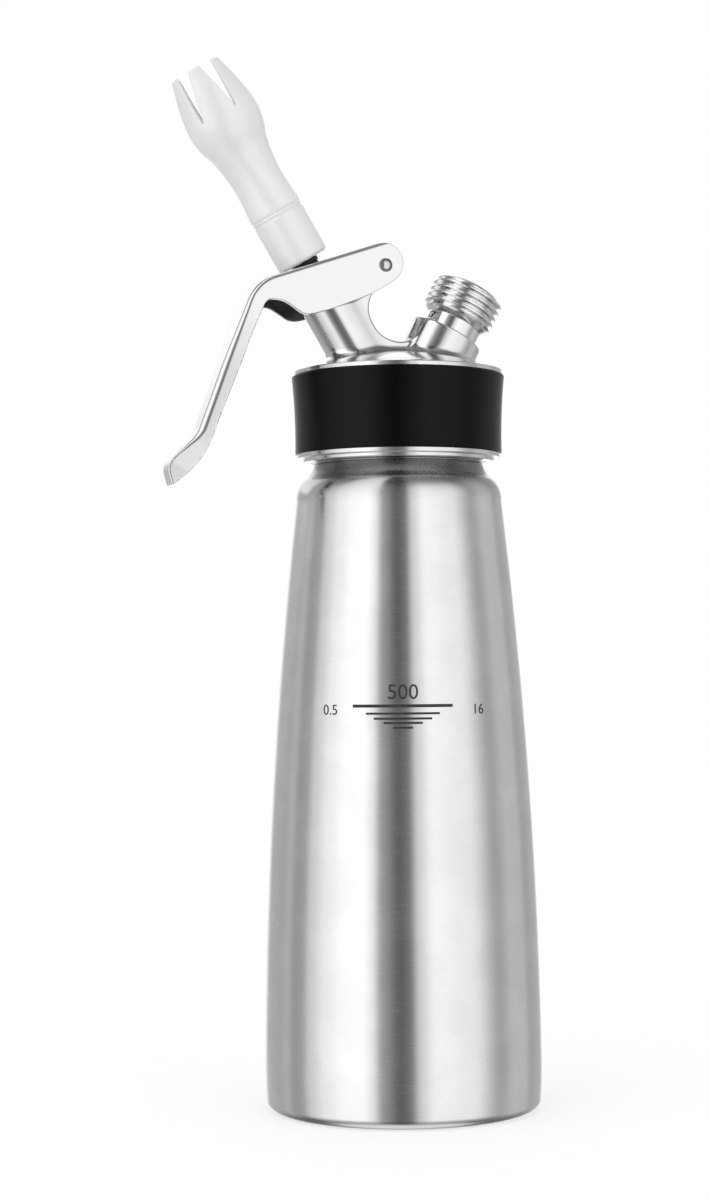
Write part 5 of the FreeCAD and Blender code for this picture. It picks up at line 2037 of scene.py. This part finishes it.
# ---------------------------------------------------------------- studio
@dataclass
class Studio:
    """Floor, soft lights and camera.

    Args:
        turn: Direction of the camera round the object, in degrees.
        distance: Its distance from the bottle's axis.
        height: Its height over the foot.
        aside: How far it looks beside the axis, in degrees.
        pitch: How far it looks up, in degrees.
        roll: Its roll, in degrees.
        lens: Its focal length.
        strength: Strength of the world, at which a level of 1 in the ring is white.
        softboxes: Direction and level of each stop of the ring of light, in degrees.
        zenith: Rise between which plain light fades into the overhead grey.
        overhead: Level of that grey, also of steel that faces straight down.
        nadir: Fall between which mirrored light fades into it.
        panel: Directions between which a bright panel starts and ends, in radians.
        panel_rise: Rise between which it starts.
        panel_level: Its level.
        tower: Directions between which the ceiling's edge stands higher, in radians.
        tower_rise: How much higher.
        ceiling: Rise between which the mirrored ring dims.
        ground: Fall between which it dims.
        gloom: Share of the ring's light that stays there.
        shade: Level of the rest.
        floor_tone: Tone of the floor.
        floor_glow: Level that the camera sees in half of it.
        middle: Middle of the object in metres, which the lamp looks at.
    """

    turn: float = 16.5
    distance: float = 752.5
    height: float = 128.0
    aside: float = 0.983
    pitch: float = 1.381
    roll: float = 0.45
    lens: float = 78.0
    strength: float = 1.5
    softboxes: tuple[tuple[float, float], ...] = (
        (-180, 1.25), (-162, 1.0), (-149, 0.50), (-122, 0.46), (-112, 0.54), (-102, 0.38), (-93, 0.42),
        (-82, 0.80), (-66, 1.1), (-50, 1.3), (-34, 1.35), (-26, 1.1), (-17, 0.38), (-2, 0.13), (6, 0.20),
        (15, 0.85), (27, 1.2), (58, 1.05),
        (88, 0.44), (105, 0.60), (120, 0.58), (130, 0.44), (156, 0.50), (168, 1.1), (180, 1.25))
    zenith: tuple[float, float] = (0.4, 0.85)
    overhead: float = 0.6
    nadir: tuple[float, float] = (-0.8, -0.93)
    panel: tuple[float, float, float, float] = (-3.0, -2.8, -2.1, -2.25)
    panel_rise: tuple[float, float] = (0.17, 0.26)
    panel_level: float = 0.8
    tower: tuple[float, float, float, float] = (-1.4, -1.2, -0.3, -0.5)
    tower_rise: float = 0.35
    ceiling: tuple[float, float] = (0.48, 0.86)
    ground: tuple[float, float] = (-0.30, -0.72)
    gloom: float = 0.28
    shade: float = 0.015
    floor_tone: float = 0.92
    floor_glow: float = 1.24
    middle: tuple[float, float, float] = (0.0, 0.0, 0.15)

    def camera(self) -> None:
        """Stand the camera where the object is seen from."""
        turn, aside, pitch = (math.radians(angle) for angle in (self.turn, self.aside, self.pitch))
        upward = Vector((0, 0, 1))
        ahead = Vector((math.sin(turn), math.cos(turn), 0))
        left = Vector((-math.cos(turn), math.sin(turn), 0))
        aim = (ahead * math.cos(aside) + left * math.sin(aside)) * math.cos(pitch) + upward * math.sin(pitch)
        right = aim.cross(upward).normalized()
        up = right.cross(aim).normalized()
        lean = Matrix.Rotation(math.radians(self.roll), 3, aim)
        data = bpy.data.cameras.new("camera")
        data.lens, data.sensor_width = self.lens, 36.0
        data.clip_start, data.clip_end = 0.01, 50.0
        camera = bpy.data.objects.new("camera", data)
        bpy.context.scene.collection.objects.link(camera)
        facing = Matrix((lean @ right, lean @ up, -aim)).transposed().to_4x4()
        spot = -ahead * self.distance * MM + Vector((0, 0, self.height * MM))
        camera.matrix_world = Matrix.Translation(spot) @ facing
        bpy.context.scene.camera = camera

    def heading(self, nodes: Nodes) -> bpy.types.NodeSocket:
        """Direction round the object, in radians, with 0 behind the camera.

        Args:
            nodes: Helper of the world's tree.

        Returns:
            The direction's socket.
        """
        place = nodes.add("ShaderNodeTexCoord").outputs["Generated"]
        turn = math.radians(self.turn)
        ways = []
        for way in ((math.cos(turn), -math.sin(turn), 0), (-math.sin(turn), -math.cos(turn), 0)):
            dot = nodes.add("ShaderNodeVectorMath", operation="DOT_PRODUCT")
            nodes.link(place, dot.inputs[0])
            dot.inputs[1].default_value = way
            ways.append(dot.outputs["Value"])
        return nodes.math("ARCTAN2", *ways)

    def ring(self, nodes: Nodes, heading: bpy.types.NodeSocket) -> bpy.types.NodeSocket:
        """Light of the softboxes by direction.

        Args:
            nodes: Helper of the world's tree.
            heading: Direction round the object.

        Returns:
            The light's colour.
        """
        ramp = nodes.add("ShaderNodeValToRGB")
        share = nodes.math("ADD", nodes.math("MULTIPLY", heading, 0.5 / math.pi), 0.5)
        nodes.link(share, ramp.inputs["Fac"])
        ramp.color_ramp.interpolation = "EASE"
        stops = ramp.color_ramp.elements
        for index, (degrees, level) in enumerate(self.softboxes):
            spot = degrees / 360 + 0.5
            stop = stops[index] if index < 2 else stops.new(spot)
            stop.position, stop.color = spot, grey(level / self.strength)
        return ramp.outputs["Color"]

    def world(self) -> None:
        """Surround the object with a ring of soft light, white behind it for the camera."""
        world = bpy.data.worlds.new("studio")
        bpy.context.scene.world = world
        world.use_nodes = True
        nodes = Nodes(world.node_tree)
        heading = self.heading(nodes)
        ring = self.ring(nodes, heading)
        level = nodes.parts("Generated")["Z"]
        overhead = grey(self.overhead)
        soft = nodes.mix(nodes.spread(level, *self.zenith), ring, overhead)
        panel, tower = (nodes.math("MULTIPLY", nodes.spread(heading, *edges[:2]),
                                   nodes.spread(heading, *edges[2:])) for edges in (self.panel, self.tower))
        panel = nodes.math("MULTIPLY", panel, nodes.spread(level, *self.panel_rise))
        banded = nodes.mix(panel, ring, grey(self.panel_level))
        lowered = nodes.math("SUBTRACT", level, nodes.math("MULTIPLY", tower, self.tower_rise))
        beyond = nodes.math("ADD", nodes.spread(lowered, *self.ceiling), nodes.spread(level, *self.ground))
        dim = nodes.mix(self.gloom, grey(self.shade), ring)
        mirrored = nodes.mix(nodes.spread(level, *self.nadir), nodes.mix(beyond, banded, dim), overhead)
        path = nodes.add("ShaderNodeLightPath")
        unseen = nodes.mix(path.outputs["Is Glossy Ray"], soft, mirrored)
        shown = nodes.mix(path.outputs["Is Camera Ray"], unseen, grey(1 / self.strength))
        background = world.node_tree.nodes["Background"]
        nodes.link(shown, background.inputs["Color"])
        background.inputs["Strength"].default_value = self.strength

    def floor(self) -> None:
        """Lay a pale floor that keeps a soft shadow and doesn't show in the steel."""
        mesh = bpy.data.meshes.new("studio_floor")
        reach, drop = 6.0, 0.0002
        corners = [(x * reach, y * reach, 0) for x, y in ((-1, -1), (1, -1), (1, 1), (-1, 1))]
        mesh.from_pydata(corners, [], [(0, 1, 2, 3)])
        floor = weld_object("studio_floor", mesh, UPRIGHT)
        floor.location.z = -drop
        material, nodes, shader = start_material("studio_floor")
        shader.inputs["Base Color"].default_value = grey(self.floor_tone)
        shader.inputs["Roughness"].default_value = 0.9
        shader.inputs["Specular IOR Level"].default_value = 0.0
        glow = nodes.add("ShaderNodeEmission")
        glow.inputs["Color"].default_value = grey(1.0)
        glow.inputs["Strength"].default_value = self.floor_glow
        path = nodes.add("ShaderNodeLightPath")
        surface = shader.outputs[0]
        halved = nodes.math("MULTIPLY", path.outputs["Is Camera Ray"], 0.5)
        clear = nodes.add("ShaderNodeBsdfTransparent")
        for share, other in ((halved, glow), (path.outputs["Is Glossy Ray"], clear)):
            blend = nodes.add("ShaderNodeMixShader")
            for slot, value in zip(blend.inputs, (share, surface, other.outputs[0])):
                nodes.link(value, slot)
            surface = blend.outputs[0]
        nodes.link(surface, material.node_tree.nodes["Material Output"].inputs["Surface"])
        mesh.materials.append(material)

    def lamp(self, name: str, spot: tuple[float, float, float], size: float, power: float) -> None:
        """Hang a soft square lamp that looks at the object's middle.

        Args:
            name: Name of the lamp.
            spot: Its place in metres.
            size: Length of its sides in metres.
            power: Its power in watts.
        """
        data = bpy.data.lights.new(name, "AREA")
        data.size, data.energy = size, power
        lamp = bpy.data.objects.new(name, data)
        bpy.context.scene.collection.objects.link(lamp)
        lamp.location = spot
        aim = Vector(self.middle) - Vector(spot)
        lamp.rotation_euler = aim.to_track_quat("-Z", "Y").to_euler()
        lamp.visible_glossy = False

    def build(self) -> None:
        """Set up the whole studio."""
        bpy.context.scene.view_settings.view_transform = "Standard"
        self.camera()
        self.world()
        self.floor()
        self.lamp("key", spot=(-0.9, -1.1, 1.3), size=0.8, power=2.0)
        log.info("studio ready")


def main() -> None:
    """Build every sub-assembly and set up the studio."""
    logging.basicConfig(level=logging.INFO, format="%(name)s: %(message)s")
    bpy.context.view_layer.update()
    palette = Palette()
    for part in (Bottle(), FillMark(), Head(), Skirt(), Sleeve(), Inlet(), ValveStem(), ReturnSpring(),
                 Lever(), PivotPin(), Tip(), Washer()):
        part.build(palette)
    Studio().build()


if __name__ == "__main__":
    main()
